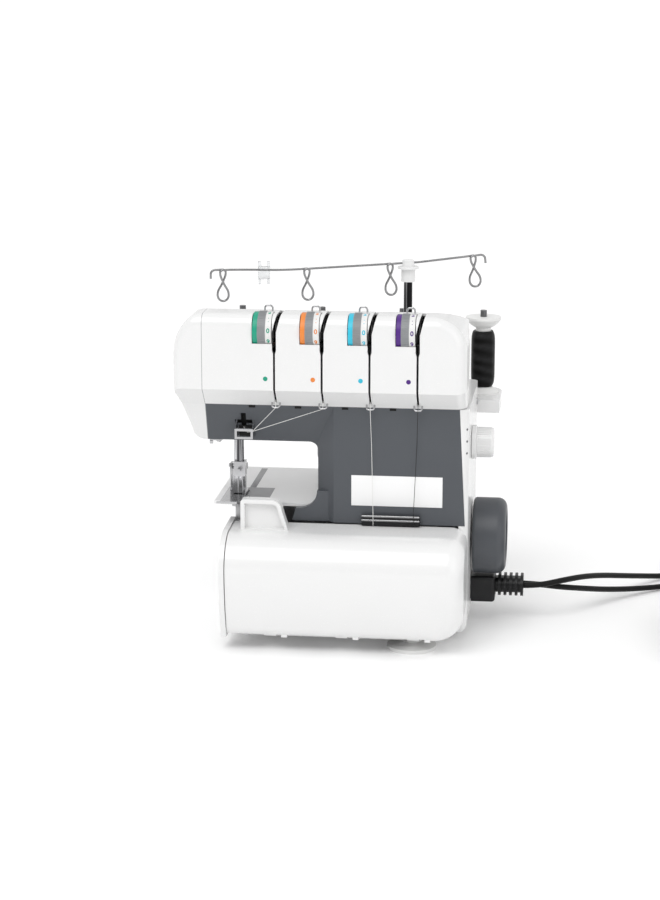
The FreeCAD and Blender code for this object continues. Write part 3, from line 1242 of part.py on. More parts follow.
# Thread guide on the pole: one wire with hooked ends and four hanging teardrop loops.
GUIDE_WIRE = {
    "guide_turn": 12, "wire_r": 1, "loop_first": -169.4, "loop_pitch": 76.3, "loop_lead": 6, "eye_r": 2.6,
    "loop_cross": 11, "loop_half": 5, "loop_side": 23, "loop_drop": 28.6, "strand_gap": 2.7, "hook_r": 4,
    "hook_left": -180.5, "hook_right": 70.5, "hook_drop": 8, "gentle_rise": 2.6, "steep_rise": 6,
    "bend_at": 9, "bend_half": 2,
}
sizes(GUIDE_WIRE)


def guide_wire():
    """Level at the left end, the wire bends up at its second loop and again beside the cap."""
    aim = math.radians(number(s.guide_turn))
    along, across = V(math.cos(aim), math.sin(aim), 0), V(-math.sin(aim), math.cos(aim), 0)
    origin = V(number(s.pole_x), number(s.pole_y), number(s.guide_z))
    first, pitch, bend = number(s.loop_first), number(s.loop_pitch), number(s.bend_at)
    knee = first + pitch
    gentle, steep = math.radians(number(s.gentle_rise)), math.radians(number(s.steep_rise))

    def way(u, du, dw):
        """Direction at u, from a step along the wire's line and a step square to it."""
        lean = 0 if u < knee else gentle if u < bend else steep
        ahead = along * math.cos(lean) + V(0, 0, math.sin(lean))
        up = V(0, 0, math.cos(lean)) - along * math.sin(lean)
        return ahead * du + up * dw

    def at(u, du=0, dw=0, dv=0):
        """Point du along, dw square to and dv across the wire's line, counted from its point at u."""
        rise = max(min(u, bend), knee) * math.tan(gentle) + max(u - bend, 0) * math.tan(steep)
        return origin + along * u + V(0, 0, rise) + way(u, du, dw) + across * dv

    def knot(u, spot, heading):
        return at(u, *spot), way(u, *heading).normalize()

    eye, half, lead = number(s.eye_r), number(s.loop_half), number(s.loop_lead)
    gap = number(s.strand_gap) / 2
    cross, side, drop = number(s.loop_cross), number(s.loop_side), number(s.loop_drop)
    hook, down, ease = number(s.hook_r), number(s.hook_drop), number(s.bend_half)
    left, right = number(s.hook_left), number(s.hook_right)
    lean_in = (-0.4, 0.92)
    knots = [
        knot(left, (0, -down), (0, 1)), knot(left, (0, -hook), (0, 1)), knot(left, (hook, 0), (1, 0))]
    for i in range(4):
        c = first + pitch * i
        if c > bend:
            knots += [knot(bend - ease, (0, 0), (1, 0)), knot(bend + ease, (0, 0), (1, 0))]
        knots += [
            knot(c, (-lead, 0), (1, 0)), knot(c, (0, 0, gap), (1, 0)), knot(c, (eye, -eye, gap), (0, -1)),
            knot(c, (0, -cross, gap), (lean_in[0], -lean_in[1])),
            knot(c, (-half, -side, gap / 2), (0, -1)), knot(c, (0, -drop), (1, 0)),
            knot(c, (half, -side, -gap / 2), (0, 1)), knot(c, (0, -cross, -gap), lean_in),
            knot(c, (-eye, -eye, -gap), (0, 1)), knot(c, (0, 0, -gap), (1, 0)), knot(c, (lead, 0), (1, 0))]
    knots += [
        knot(right, (-hook, 0), (1, 0)), knot(right, (0, -hook), (0, -1)), knot(right, (0, -down), (0, -1))]
    node(tube("guide_wire", through(knots), knots[0][0], knots[0][1], number(s.wire_r)))


# Needle bar with clamp and two needles, presser bar with the long foot.
BARS = {
    "bar_top": 232, "needle_bar_low": 146, "clamp_low": 138, "clamp_high": 151, "clamp_half": 5,
    "needle_tip": 108, "needle_point": 4, "needle_neck": 0.9, "needle_taper": 2, "needle_seat": 6,
    "screw_r": 1.8, "screw_out": 6, "screw_drop": 7, "presser_bar_low": 128, "foot_left": -105,
    "foot_right": -87, "foot_toe": -90, "foot_heel": -20, "sole_gap": 0.35, "sole_thick": 2.4,
    "toe_rise": 5, "toe_bend": -72, "toe_thin": 0.6, "ankle_half": 4.5, "ankle_top": 140,
    "window_left": 6, "window_right": 3, "window_deep": 6, "collar_r": 7, "collar_low": 212,
    "collar_high": 218,
}
sizes(BARS)


def needle_assembly():
    """Round bar, clamp block with its screw, and two needles held in the block."""
    x, y, half = s.needle_x, s.needle_y, s.clamp_half
    node(rod("needle_bar", s.needle_bar_r, s.bar_top - s.needle_bar_low, x, y, s.needle_bar_low))
    jaw = block("clamp_jaw", x - half, y - half, s.clamp_low, half * 2, half * 2,
                s.clamp_high - s.clamp_low)
    sockets = [rod("clamp_seat", s.needle_bar_r, s.clamp_high - s.needle_bar_low + s.overcut, x, y,
                   s.needle_bar_low)]
    needles = []
    shank, top = s.clamp_low - s.needle_tip, s.clamp_low + s.needle_seat - s.needle_tip
    for i, side in enumerate((-0.5, 0.5)):
        at = x + s.needle_pitch * side
        sockets.append(rod(f"needle_socket_{i + 1}", s.needle_neck, s.needle_seat + s.overcut, at, y,
                           s.clamp_low - s.overcut))
        needles.append(turned(f"needle_{i + 1}", [
            (0, 0), (s.needle_r, s.needle_point), (s.needle_r, shank - s.needle_taper * 2),
            (s.needle_neck, shank - s.needle_taper), (s.needle_neck, top), (0, top)],
            at, y, s.needle_tip))
    screw = rod("clamp_screw", s.screw_r, s.screw_out, x, y - half - s.screw_out,
                s.clamp_high - s.screw_drop, (0, 1, 0))
    node(fused("needle_clamp", [bored("clamp_block", jaw, sockets), screw]))
    node(group("needles", needles))


def presser_assembly():
    """Bar with a stop collar, and a foot with an upturned toe, needle window and ankle."""
    x, y = s.presser_x, s.presser_y
    bar = rod("presser_rod", s.presser_bar_r, s.bar_top - s.presser_bar_low, x, y, s.presser_bar_low)
    collar = rod("presser_collar", s.collar_r, s.collar_high - s.collar_low, x, y, s.collar_low)
    node(fused("presser_bar", [bar, collar]))
    body = new_body("foot_sole")
    low = s.bed_z + s.sole_gap
    top = low + s.sole_thick
    pad(body, sketch(body, "YZ_Plane", [
        (s.foot_toe, low + s.toe_rise), (s.toe_bend, low), (s.foot_heel, low), (s.foot_heel, top),
        (s.toe_bend, top), (s.foot_toe, top + s.toe_rise - s.toe_thin)], s.foot_left),
        s.foot_right - s.foot_left)
    half = s.ankle_half
    pad(body, sketch(body, "XY_Plane", [
        (x - half, y - half), (x + half, y - half), (x + half, y + half), (x - half, y + half)],
        top - s.sole_thick / 2), s.ankle_top - top + s.sole_thick / 2)
    left, right, deep = s.needle_x - s.window_left, s.needle_x + s.window_right, s.window_deep / 2
    cut(body, sketch(body, "XY_Plane", [
        (left, s.needle_y - deep), (right, s.needle_y - deep), (right, s.needle_y + deep),
        (left, s.needle_y + deep)], low - s.overcut), s.sole_thick + s.overcut * 2)
    seat = rod("ankle_bore", s.presser_bar_r, s.ankle_top - s.presser_bar_low + s.overcut, x, y,
               s.presser_bar_low)
    node(bored("presser_foot", body, [seat]))


def presser_lifter():
    """White wedge lever on the throat side of the column, on a pin in the rear cover."""
    body = new_body("lever_blade")
    y, z, r, tip = s.lever_y, s.lever_z, s.lever_r, s.lever_tip
    pad(body, sketch(body, "YZ_Plane", [
        (y - r, z, r), (y - tip, z - r, r), (s.lever_end_y - tip, s.lever_end_z - tip),
        (s.lever_end_y, s.lever_end_z, tip), (s.lever_end_y - tip, s.lever_end_z + tip, tip),
        (y, z + r)], s.lever_x), s.lever_wide)
    pin = rod("lever_pin", s.lever_pin_r, s.lever_wide / 2 + s.lever_pin_deep,
              s.lever_x + s.lever_wide / 2, y, z, (1, 0, 0))
    node(fused("presser_lifter", [body, pin]))


# Thread guides: black bar with rods under the label, wire hooks on panel, head and arm.
THREAD_GUIDES = {
    "bar_left": 20, "bar_right": 70.5, "guide_bar_low": 103.8, "bar_high": 112, "bar_out": 5.5,
    "bar_rod_r": 0.9, "bar_rod_drop": 3.6, "hook_wire": 0.8, "hook_half": 3.4, "hook_reach": 5,
    "hook_z": 210, "crown_y": -58, "crown_reach": 4.5, "crown_side": 8, "arm_guide_left": -90.7,
    "arm_guide_wide": 16, "arm_guide_low": 177.7, "arm_guide_high": 193, "arm_guide_front": -76,
    "arm_guide_band": 9, "arm_guide_sheet": 1, "arm_guide_lip": 2, "hook_flat": 1.02,
}
sizes(THREAD_GUIDES)


def looper_guide_bar():
    """Black bar on the foot of the panel with two steel rods that lead the looper threads."""
    front = s.panel_y - s.bar_out
    bar = block("guide_bar_block", s.bar_left, front, s.guide_bar_low, s.bar_right - s.bar_left,
                s.bar_out, s.bar_high - s.guide_bar_low)
    rods = [rod("guide_bar_rod", s.bar_rod_r, s.bar_right - s.bar_left, s.bar_left, front, z, (1, 0, 0))
            for z in (s.bar_high, s.bar_high - s.bar_rod_drop)]
    node(fused("looper_guide_bar", [bar] + rods))


def staple(label, middle, side, out):
    """Bent wire that leaves a wall on one side of a point, turns twice and comes back on the other."""
    half = number(s.hook_half)
    ahead = V(out).normalize()
    bend = half - number(s.hook_flat)
    a, b = middle - side * half, middle + side * half
    knots = [(a, ahead), (a + out - ahead * bend, ahead), (a + out + side * bend, side),
             (b + out - side * bend, side), (b + out - ahead * bend, ahead * -1), (b, ahead * -1)]
    return tube(label, through(knots), a, ahead, number(s.hook_wire))


def facet_spot(x, z):
    """Point on the lower facet of the head and the way straight out of it."""
    rise, out = number(s.facet_z - s.panel_top), number(s.panel_y - s.head_front)
    y = number(s.panel_y) - out * (z - number(s.panel_top)) / rise
    return V(x, y, z), V(0, -rise, -out).normalize()


def thread_guides():
    """Steel guides: a wire hook at the foot of each slot, one on the head top, a bracket on the arm."""
    across, reach = V(1, 0, 0), number(s.hook_reach)
    pieces = []
    for i in range(4):
        x = number(slot_x(i))
        spot, out = facet_spot(x, number(s.hook_z))
        pieces.append(staple(f"slot_hook_{i + 1}", spot, across, out * reach))
        crown = V(x - number(s.crown_side), number(s.crown_y), number(s.head_top))
        pieces.append(staple(f"crown_hook_{i + 1}", crown, across, V(0, 0, number(s.crown_reach))))
    node(group("thread_guides", pieces + [arm_guide()]))


def arm_guide():
    """Bent strip on the leaning arm face: two sloped cheeks and a front band with a thread window."""
    body = new_body("arm_guide")
    left, right, front = s.arm_guide_left, s.arm_guide_left + s.arm_guide_wide, s.arm_guide_front
    low, high, band = s.arm_guide_low, s.arm_guide_high, s.arm_guide_band
    sheet_t, lip = s.arm_guide_sheet, s.arm_guide_lip
    lean = (s.arm_y - s.panel_y) / (s.panel_top - s.arm_under)
    pad(body, sketch(body, "YZ_Plane", [
        (front, low), (s.panel_y + lean * (s.panel_top - low), low),
        (s.panel_y + lean * (s.panel_top - high), high), (front, low + band)], left), s.arm_guide_wide)
    cut(body, sketch(body, "XY_Plane", [
        (left + sheet_t, front + sheet_t), (right - sheet_t, front + sheet_t),
        (right - sheet_t, s.arm_y), (left + sheet_t, s.arm_y)], low), high - low)
    cut(body, sketch(body, "XZ_Plane", [
        (left + lip, low + lip), (right - lip, low + lip), (right - lip, low + band - lip),
        (left + lip, low + band - lip)], -front), sheet_t, ahead=False)
    return body


# Leads: two cords from the boot, one to a mains plug, one to the foot control, each with its spare
# length laid in a two-layer coil on the floor.
LEADS = {
    "coil_gap": 0.7, "coil_layer": 5.9, "coil_dip": 1.6, "mains_inner": 22.6, "mains_turns": 7.5,
    "mains_x": 340, "mains_y": 182.4, "mains_tail": 27, "pedal_inner": 24, "pedal_turns": 6.25,
    "pedal_coil_x": 337.6, "pedal_coil_y": 80, "floor_gap": 0.05,
}
sizes(LEADS)


def wound_radius(inner, turns):
    """Radius of the outer turn of a two-layer coil."""
    return inner + (s.lead_d + s.coil_gap) * ((turns - 0.5) / 2)


def lead_tube(label, points):
    """Lead laid through points: straight runs joined by tangent arcs."""
    radius = number(s.lead_d) / 2
    points = [V(*[number(c) for c in point]) for point in points]
    edges, at, bends = [], points[0], []
    for before, corner, after in zip(points, points[1:], points[2:]):
        come, go = corner - before, after - corner
        trim = 0.45 * min(come.Length, go.Length)
        bends.append(trim / math.tan(come.getAngle(go) / 2))
        start = corner - come.normalize() * trim
        end = corner + go.normalize() * trim
        edges.append(Part.LineSegment(at, start).toShape())
        edges.append(arc_from(start, come, end))
        at = end
    edges.append(Part.LineSegment(at, points[-1]).toShape())
    thing = tube(label, edges, points[0], (points[1] - points[0]).normalize(), radius)
    length = sum(edge.Length for edge in edges)
    fill = thing.Shape.Volume / (math.pi * radius ** 2 * length)
    radii = ", ".join(f"{bend:.0f}" for bend in bends)
    print(f"{label}: length {length:.0f} mm, volume ratio {fill:.4f}, bend radii {radii}")
    node(thing)


def coil_tube(label, centre, inner, turns, first, tail):
    """Lead laid clockwise in a spiral on the floor, climbing at the middle, out again on top."""
    radius, inner, turns = number(s.lead_d) / 2, number(inner), number(turns)
    x, y = (number(c) for c in centre)
    pitch = number(s.lead_d + s.coil_gap)
    layer, dip, base = number(s.coil_layer), number(s.coil_dip), radius + number(s.floor_gap)
    wound = (turns - 0.5) / 2

    def spot(turn):
        climb = min(max((turn - wound) * 2, 0), 1)
        out = max(wound - turn, turn - wound - 0.5, 0)
        r = inner + pitch * out - dip * math.sin(math.pi * climb) ** 2
        rise = layer * (climb - math.sin(2 * math.pi * climb) / (2 * math.pi))
        angle = math.radians(first) - 2 * math.pi * turn
        return V(x + r * math.cos(angle), y + r * math.sin(angle), base + rise)

    def heading(turn):
        angle = math.radians(first) - 2 * math.pi * turn
        return V(math.sin(angle), -math.cos(angle), 0)

    count = round(turns * 8)
    knots = [(spot(0) - heading(0) * radius * 2, heading(0)), (spot(0), heading(0))]
    for k in range(1, count):
        turn = turns * k / count
        knots.append((spot(turn), (spot(turn + 1e-4) - spot(turn - 1e-4)).normalize()))
    knots.append((spot(turns), heading(turns)))
    knots.append((spot(turns) + heading(turns) * number(tail), heading(turns)))
    edges = through(knots)
    thing = tube(label, edges, knots[0][0], knots[0][1], radius)
    fine = [p for edge in edges for p in edge.discretize(24)[:-1]]
    apart = int(0.4 * len(fine) / turns)
    least = min((p - q).Length for i, p in enumerate(fine) for q in fine[i + apart:])
    length = sum(edge.Length for edge in edges)
    fill = thing.Shape.Volume / (math.pi * radius ** 2 * length)
    print(f"{label}: length {length:.0f} mm, volume ratio {fill:.4f}, least gap {least - 2 * radius:.2f}")
    node(thing)


def leads():
    floor = s.lead_d / 2 + s.floor_gap
    start, side, z = s.relief_far, s.lead_pitch / 2, s.relief_z
    first_x = s.mains_x - wound_radius(s.mains_inner, s.mains_turns)
    lead_tube("mains_lead", [
        (start, -side, z), (start + 15, -side, z), (192, 5, 36), (212, 30, 33.5), (230, 62, 26),
        (251, 97, 16), (273, 128, 7.5), (289, 143, 3.4), (first_x, 159, floor),
        (first_x, s.mains_y - s.lead_d, floor)])
    coil_tube("mains_coil", (s.mains_x, s.mains_y), s.mains_inner, s.mains_turns, 180, s.mains_tail)
    first_y = s.pedal_coil_y + wound_radius(s.pedal_inner, s.pedal_turns)
    lead_tube("pedal_lead", [
        (start, side, z), (start + 15, side, z), (192, 9, 29), (211, 29, 22.5), (230, 53, 15),
        (253, 80, 8), (280, 104, 3.4), (307, first_y, floor),
        (s.pedal_coil_x - s.lead_d, first_y, floor)])
    coil_tube("pedal_coil", (s.pedal_coil_x, s.pedal_coil_y), s.pedal_inner, s.pedal_turns, 90,
              s.pedal_coil_y - s.gland_end)


# Mains plug: moulded body with a strain relief and two flat blades, lying flat on the floor.
MAINS_PLUG = {
    "grip_wide": 24, "grip_long": 28, "grip_high": 16.8, "grip_soft": 4, "grip_neck": 7, "neck_long": 8,
    "neck_r": 4.4, "prong_pitch": 12.7, "prong_wide": 6.3, "prong_thick": 1.5, "prong_long": 17,
}
sizes(MAINS_PLUG)


def mains_plug():
    x = s.mains_x + wound_radius(s.mains_inner, s.mains_turns)
    z = s.lead_d / 2 + s.floor_gap + s.coil_layer
    end = s.mains_y - s.mains_tail
    back, face = end - s.neck_long, end - s.neck_long - s.grip_long
    half, low = s.grip_wide / 2, z - s.grip_high / 2
    body = new_body("plug_grip")
    pad(body, sketch(body, "XY_Plane", [
        (x - half, face), (x + half, face), (x + half, back - s.grip_long / 3), (x + s.grip_neck, back),
        (x - s.grip_neck, back), (x - half, back - s.grip_long / 3)], low), s.grip_high)
    middle = face + s.grip_long / 3
    round_edges(body, s.grip_soft, [
        (x + half * side, middle, level) for side in (-1, 1) for level in (low, low + s.grip_high)])
    pieces = [body, rod("plug_neck", s.neck_r, s.neck_long + s.neck_r, x, back - s.neck_r, z, (0, 1, 0))]
    for side in (-0.5, 0.5):
        pieces.append(block("plug_prong", x + s.prong_pitch * side - s.prong_thick / 2,
                            face - s.prong_long, z - s.prong_wide / 2, s.prong_thick,
                            s.prong_long + s.neck_r, s.prong_wide))
    node(fused("mains_plug", pieces))


# Foot control: base with a front hinge pin, and a treadle that drops at the back.
PEDAL = {
    "pedal_x": 344, "pedal_half": 42, "pedal_front": -108, "pedal_back": 22, "pedal_floor": 6,
    "pedal_hinge_y": -104, "pedal_hinge_z": 17, "pedal_pin_r": 2.5, "pedal_pin_over": 3,
    "tread_gap": 1.2, "tread_front": -118, "tread_back": 27, "tread_skirt": 9, "tread_nose": 21,
    "tread_high": 46, "tread_tail": 36, "tread_soft": 6, "gland_r": 5, "gland_end": 35,
    "gland_root": 10, "pedal_lug": 7, "lug_long": 9, "lug_over": 1.5, "stop_high": 14, "stop_y": -18,
}
sizes(PEDAL)


def pedal_base():
    """Floor plate with hinge lugs and pin, switch post and the cord gland."""
    left, wide = s.pedal_x - s.pedal_half, s.pedal_half * 2
    gland_x = s.pedal_coil_x + wound_radius(s.pedal_inner, s.pedal_turns)
    gland_z = s.lead_d / 2 + s.floor_gap + s.coil_layer
    pieces = [
        block("pedal_floor_plate", left, s.pedal_front, 0, wide, s.pedal_back - s.pedal_front,
              s.pedal_floor),
        rod("pedal_hinge_pin", s.pedal_pin_r, wide + s.pedal_pin_over * 2, left - s.pedal_pin_over,
            s.pedal_hinge_y, s.pedal_hinge_z, (1, 0, 0)),
        rod("pedal_gland", s.gland_r, s.gland_end - s.pedal_back + s.gland_root, gland_x,
            s.pedal_back - s.gland_root, gland_z, (0, 1, 0)),
        block("pedal_gland_root", gland_x - s.gland_r, s.pedal_back - s.gland_root, 0, s.gland_r * 2,
              s.gland_root, s.stop_high),
        rod("pedal_switch_post", s.gland_r, s.stop_high, s.pedal_x, s.stop_y, 0)]
    for x in (left, left + wide - s.pedal_lug):
        pieces.append(block("pedal_lug_block", x, s.pedal_front, 0, s.pedal_lug, s.lug_long,
                            s.pedal_hinge_z + s.lug_over))
    node(fused("pedal_base", pieces))


def pedal_treadle():
    """Hollow wedge that turns on the base's pin."""
    def form(label, inset):
        body = new_body(label)
        over = s.overcut if inset else 0
        side = s.pedal_half + s.tread_gap + s.wall - inset
        pad(body, sketch(body, "YZ_Plane", [
            (s.tread_front + inset, s.tread_skirt - over), (s.tread_back - inset, s.tread_tail - over),
            (s.tread_back - inset, s.tread_high - inset), (s.tread_front + inset, s.tread_nose - inset)],
            s.pedal_x - side), side * 2)
        return body

    outer = form("tread_outer", 0)
    side = s.pedal_half + s.tread_gap + s.wall
    middle = ((s.tread_front + s.tread_back) / 2, (s.tread_nose + s.tread_high) / 2)
    round_edges(outer, s.tread_soft, [
        (s.pedal_x - side, *middle), (s.pedal_x + side, *middle),
        (s.pedal_x, s.tread_back, s.tread_high), (s.pedal_x, s.tread_front, s.tread_nose)])
    hole = rod("tread_hole", s.pedal_pin_r + s.run_fit, side * 2 + s.overcut * 2,
               s.pedal_x - side - s.overcut, s.pedal_hinge_y, s.pedal_hinge_z, (1, 0, 0))
    node(bored("pedal_treadle", outer, [form("tread_inner", s.wall), hole]))


for i in range(4):
    tension_dial(i)
for build in (head_cover, tension_rack, left_end_cap, head_rear_cover, front_panel, right_cover,
              rear_cover, looper_cover, side_plate, base_tray, suction_feet, main_frame,
              shaft_bearings, bed_plate, needle_plate, feed_dogs, lower_knife, inner_plate, loopers,
              drive_train, motor, drive_belt, stitch_dial, mains_inlet, connector_plug, power_switch,
              spool_stand, spool_pins, spool_set, thread_pole, guide_wire, needle_assembly,
              presser_assembly, presser_lifter, looper_guide_bar, thread_guides, leads, mains_plug,
              pedal_base, pedal_treadle):
    build()
doc.recompute()

for thing in doc.Objects:
    if {"Invalid", "Error"} & set(thing.State):
        raise RuntimeError(f"{thing.Label}: {thing.State}")
for thing in nodes:
    if thing.Shape.isNull() or not thing.Shape.isValid() or not thing.Shape.Solids:
        raise RuntimeError(f"{thing.Label}: bad shape")
    thing.Shape.exportStep(f"parts/{thing.Label}.step")
print(len(nodes), "parts")
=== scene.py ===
import math

import bmesh
import bpy
from mathutils import Matrix, Vector


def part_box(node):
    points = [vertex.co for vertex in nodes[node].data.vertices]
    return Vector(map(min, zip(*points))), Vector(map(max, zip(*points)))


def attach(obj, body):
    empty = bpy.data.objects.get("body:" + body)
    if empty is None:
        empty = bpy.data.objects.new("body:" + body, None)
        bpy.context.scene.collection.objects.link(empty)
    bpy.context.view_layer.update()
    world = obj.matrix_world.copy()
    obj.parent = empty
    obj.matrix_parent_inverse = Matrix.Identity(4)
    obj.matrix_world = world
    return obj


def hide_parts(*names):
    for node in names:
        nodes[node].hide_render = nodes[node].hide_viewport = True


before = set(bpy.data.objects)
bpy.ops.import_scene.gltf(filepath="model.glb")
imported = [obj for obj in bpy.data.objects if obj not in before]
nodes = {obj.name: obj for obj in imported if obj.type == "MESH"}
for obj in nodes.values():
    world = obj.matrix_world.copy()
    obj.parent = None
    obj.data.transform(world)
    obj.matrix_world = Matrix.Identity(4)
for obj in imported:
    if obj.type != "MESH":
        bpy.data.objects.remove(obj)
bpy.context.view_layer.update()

MM = 0.001

# Camera and studio: the machine is seen from a little right of its middle and from above. Floor, sky
# and two soft lamps are plain and pale.
CAMERA_DIP, CAMERA_TURN = 13.1, 6.8
camera_data = bpy.data.cameras.new("camera")
camera_data.sensor_fit = "VERTICAL"
camera_data.sensor_height = 24
camera_data.lens = 60
camera = bpy.data.objects.new("camera", camera_data)
camera.location = (0.2166, -1.9548, 0.6105)
camera.rotation_euler = (math.radians(90 - CAMERA_DIP), 0, math.radians(CAMERA_TURN))
bpy.context.scene.collection.objects.link(camera)
bpy.context.scene.camera = camera
bpy.context.scene.view_settings.view_transform = "Standard"


def surface_of(material):
    """Main shader of a material."""
    return material.node_tree.nodes["Principled BSDF"]


def add(material, kind, inputs=(), **settings):
    """New node in a material, with its settings and its input values."""
    node = material.node_tree.nodes.new(kind)
    for key, value in settings.items():
        setattr(node, key, value)
    for socket, value in dict(inputs).items():
        node.inputs[socket].default_value = value
    return node


def join(material, output, socket):
    """Link an output to an input socket."""
    material.node_tree.links.new(output, socket)


def finish(name, colour, shade, roughness, grain, relief, metallic=0.0, stretch=(1, 1, 1), coat=0.0,
           specular=0.5):
    """Finish on object coordinates: a broad drift of colour, and a fine grain in gloss and relief."""
    material = bpy.data.materials.new(name)
    material.use_nodes = True
    surface = surface_of(material)
    surface.inputs["Metallic"].default_value = metallic
    surface.inputs["Specular IOR Level"].default_value = specular
    surface.inputs["Coat Weight"].default_value = coat
    surface.inputs["Coat Roughness"].default_value = 0.06
    place = add(material, "ShaderNodeTexCoord")
    turn = add(material, "ShaderNodeMapping", {"Scale": stretch})
    join(material, place.outputs["Object"], turn.inputs["Vector"])
    broad = add(material, "ShaderNodeTexNoise", {"Scale": 22.0, "Detail": 3.0})
    fine = add(material, "ShaderNodeTexNoise", {"Scale": grain, "Detail": 5.0, "Roughness": 0.6})
    join(material, place.outputs["Object"], broad.inputs["Vector"])
    join(material, turn.outputs["Vector"], fine.inputs["Vector"])
    tint = add(material, "ShaderNodeMix", {6: (*colour, 1), 7: (*shade, 1)}, data_type="RGBA")
    join(material, broad.outputs["Fac"], tint.inputs["Factor"])
    join(material, tint.outputs[2], surface.inputs["Base Color"])
    gloss = add(material, "ShaderNodeMapRange", {"To Min": roughness * 0.8, "To Max": roughness * 1.2})
    join(material, fine.outputs["Fac"], gloss.inputs["Value"])
    join(material, gloss.outputs["Result"], surface.inputs["Roughness"])
    bump = add(material, "ShaderNodeBump", {"Strength": relief, "Distance": 0.0004})
    join(material, fine.outputs["Fac"], bump.inputs["Height"])
    join(material, bump.outputs["Normal"], surface.inputs["Normal"])
    return material


FLOOR_HALF, FLOOR_GLOW = 100.0, 0.05
floor_mesh = bpy.data.meshes.new("floor")
floor_mesh.from_pydata([(-FLOOR_HALF, -FLOOR_HALF, 0), (FLOOR_HALF, -FLOOR_HALF, 0),
                        (FLOOR_HALF, FLOOR_HALF, 0), (-FLOOR_HALF, FLOOR_HALF, 0)], [], [(0, 1, 2, 3)])
pale_floor = finish("pale_floor", (0.97, 0.97, 0.97), (0.96, 0.96, 0.96),
                    roughness=0.7, grain=300, relief=0.02)
surface_of(pale_floor).inputs["Emission Color"].default_value = (1, 1, 1, 1)
surface_of(pale_floor).inputs["Emission Strength"].default_value = FLOOR_GLOW
floor_mesh.materials.append(pale_floor)
floor = bpy.data.objects.new("floor", floor_mesh)
bpy.context.scene.collection.objects.link(floor)

SKY_FRONT, SKY_BACK = 0.34, 0.80
world = bpy.data.worlds.new("studio")
world.use_nodes = True
sky = world.node_tree.nodes["Background"]
sky.inputs["Color"].default_value = (1, 1, 1, 1)
sky_place = add(world, "ShaderNodeTexCoord")
sky_parts = add(world, "ShaderNodeSeparateXYZ")
sky_ramp = add(world, "ShaderNodeMapRange", {"From Min": -0.9, "From Max": 0.1, "To Min": SKY_FRONT,
                                             "To Max": SKY_BACK})
join(world, sky_place.outputs["Generated"], sky_parts.inputs["Vector"])
join(world, sky_parts.outputs["Y"], sky_ramp.inputs["Value"])
join(world, sky_ramp.outputs["Result"], sky.inputs["Strength"])
bpy.context.scene.world = world


def far_lamp(name, aim, spread, power):
    """Even light from far off, with shadows softened by its spread."""
    lamp_data = bpy.data.lights.new(name, "SUN")
    lamp_data.angle = math.radians(spread)
    lamp_data.energy = power
    lamp = bpy.data.objects.new(name, lamp_data)
    lamp.rotation_euler = Vector(aim).to_track_quat("-Z", "Y").to_euler()
    bpy.context.scene.collection.objects.link(lamp)


far_lamp("key_lamp", aim=(0.30, 0.80, -1.1), spread=40, power=1.35)
far_lamp("fill_lamp", aim=(-0.8, 0.8, -0.5), spread=50, power=0.50)


# White housing: covers, end cap, doors, base, spool tray, lifter and pole cap, injection moulded in
# glossy white plastic. Where two mouldings meet, a hairline of shadow shows the joint.
WHITE, WHITE_SHADE, JOINT_GREY = (0.835, 0.835, 0.833), (0.815, 0.815, 0.813), (0.34, 0.34, 0.35)


def dress(material, *names):
    """Give CAD nodes their finish."""
    for name in names:
        nodes[name].data.materials.clear()
        nodes[name].data.materials.append(material)


def white_moulding(name):
    """Glossy white plastic of the housing."""
    return finish(name, WHITE, WHITE_SHADE, roughness=0.26, grain=900, relief=0.03, coat=0.25)


def coordinate(material, axis):
    """Socket that gives one coordinate of the piece."""
    place = add(material, "ShaderNodeTexCoord")
    parts = add(material, "ShaderNodeSeparateXYZ")
    join(material, place.outputs["Object"], parts.inputs["Vector"])
    return parts.outputs[axis]


def recolour(material, where, colour):
    """Lay a second colour over the finish where a mask is one."""
    base = surface_of(material).inputs["Base Color"]
    over = add(material, "ShaderNodeMix", {7: (*colour, 1)}, data_type="RGBA")
    join(material, where, over.inputs["Factor"])
    join(material, base.links[0].from_socket, over.inputs[6])
    join(material, over.outputs[2], base)


def joint_line(material, axis, level, width):
    """Darken a hairline where the part meets its neighbour, at one level of one axis."""
    near = add(material, "ShaderNodeMath", {1: level, 2: width}, operation="COMPARE")
    join(material, coordinate(material, axis), near.inputs[0])
    recolour(material, near.outputs["Value"], JOINT_GREY)
    return material


white_plastic = white_moulding("white_plastic")
dress(white_plastic, "head_rear_cover", "right_cover", "rear_cover", "looper_cover", "base_tray",
      "side_plate", "spool_stand", "presser_lifter", "pole_cap", "stitch_dial")
cap_right, head_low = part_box("left_end_cap")[1].x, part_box("head_cover")[0].z
dress(joint_line(white_moulding("cap_white"), "X", cap_right, width=0.5 * MM), "left_end_cap")
dress(joint_line(white_moulding("head_white"), "Z", head_low, width=0.4 * MM), "head_cover")

# Slate mouldings: front panel and handwheel, in dark blue-grey plastic with a fine spark-eroded grain.
# The panel snaps in under the head, and the wheel is pressed on the main shaft.
slate_plastic = finish("slate_plastic", (0.080, 0.087, 0.098), (0.071, 0.078, 0.089),
                       roughness=0.42, grain=2200, relief=0.10)
dress(slate_plastic, "front_panel")
# The wheel's slate is a darker copy of the panel's, though both are one plastic: painted shade on the
# wheel.
shaded_wheel_slate = finish("shaded_wheel_slate", (0.070, 0.076, 0.086), (0.064, 0.069, 0.078),
                     roughness=0.42, grain=2200, relief=0.10)
dress(shaded_wheel_slate, "handwheel")

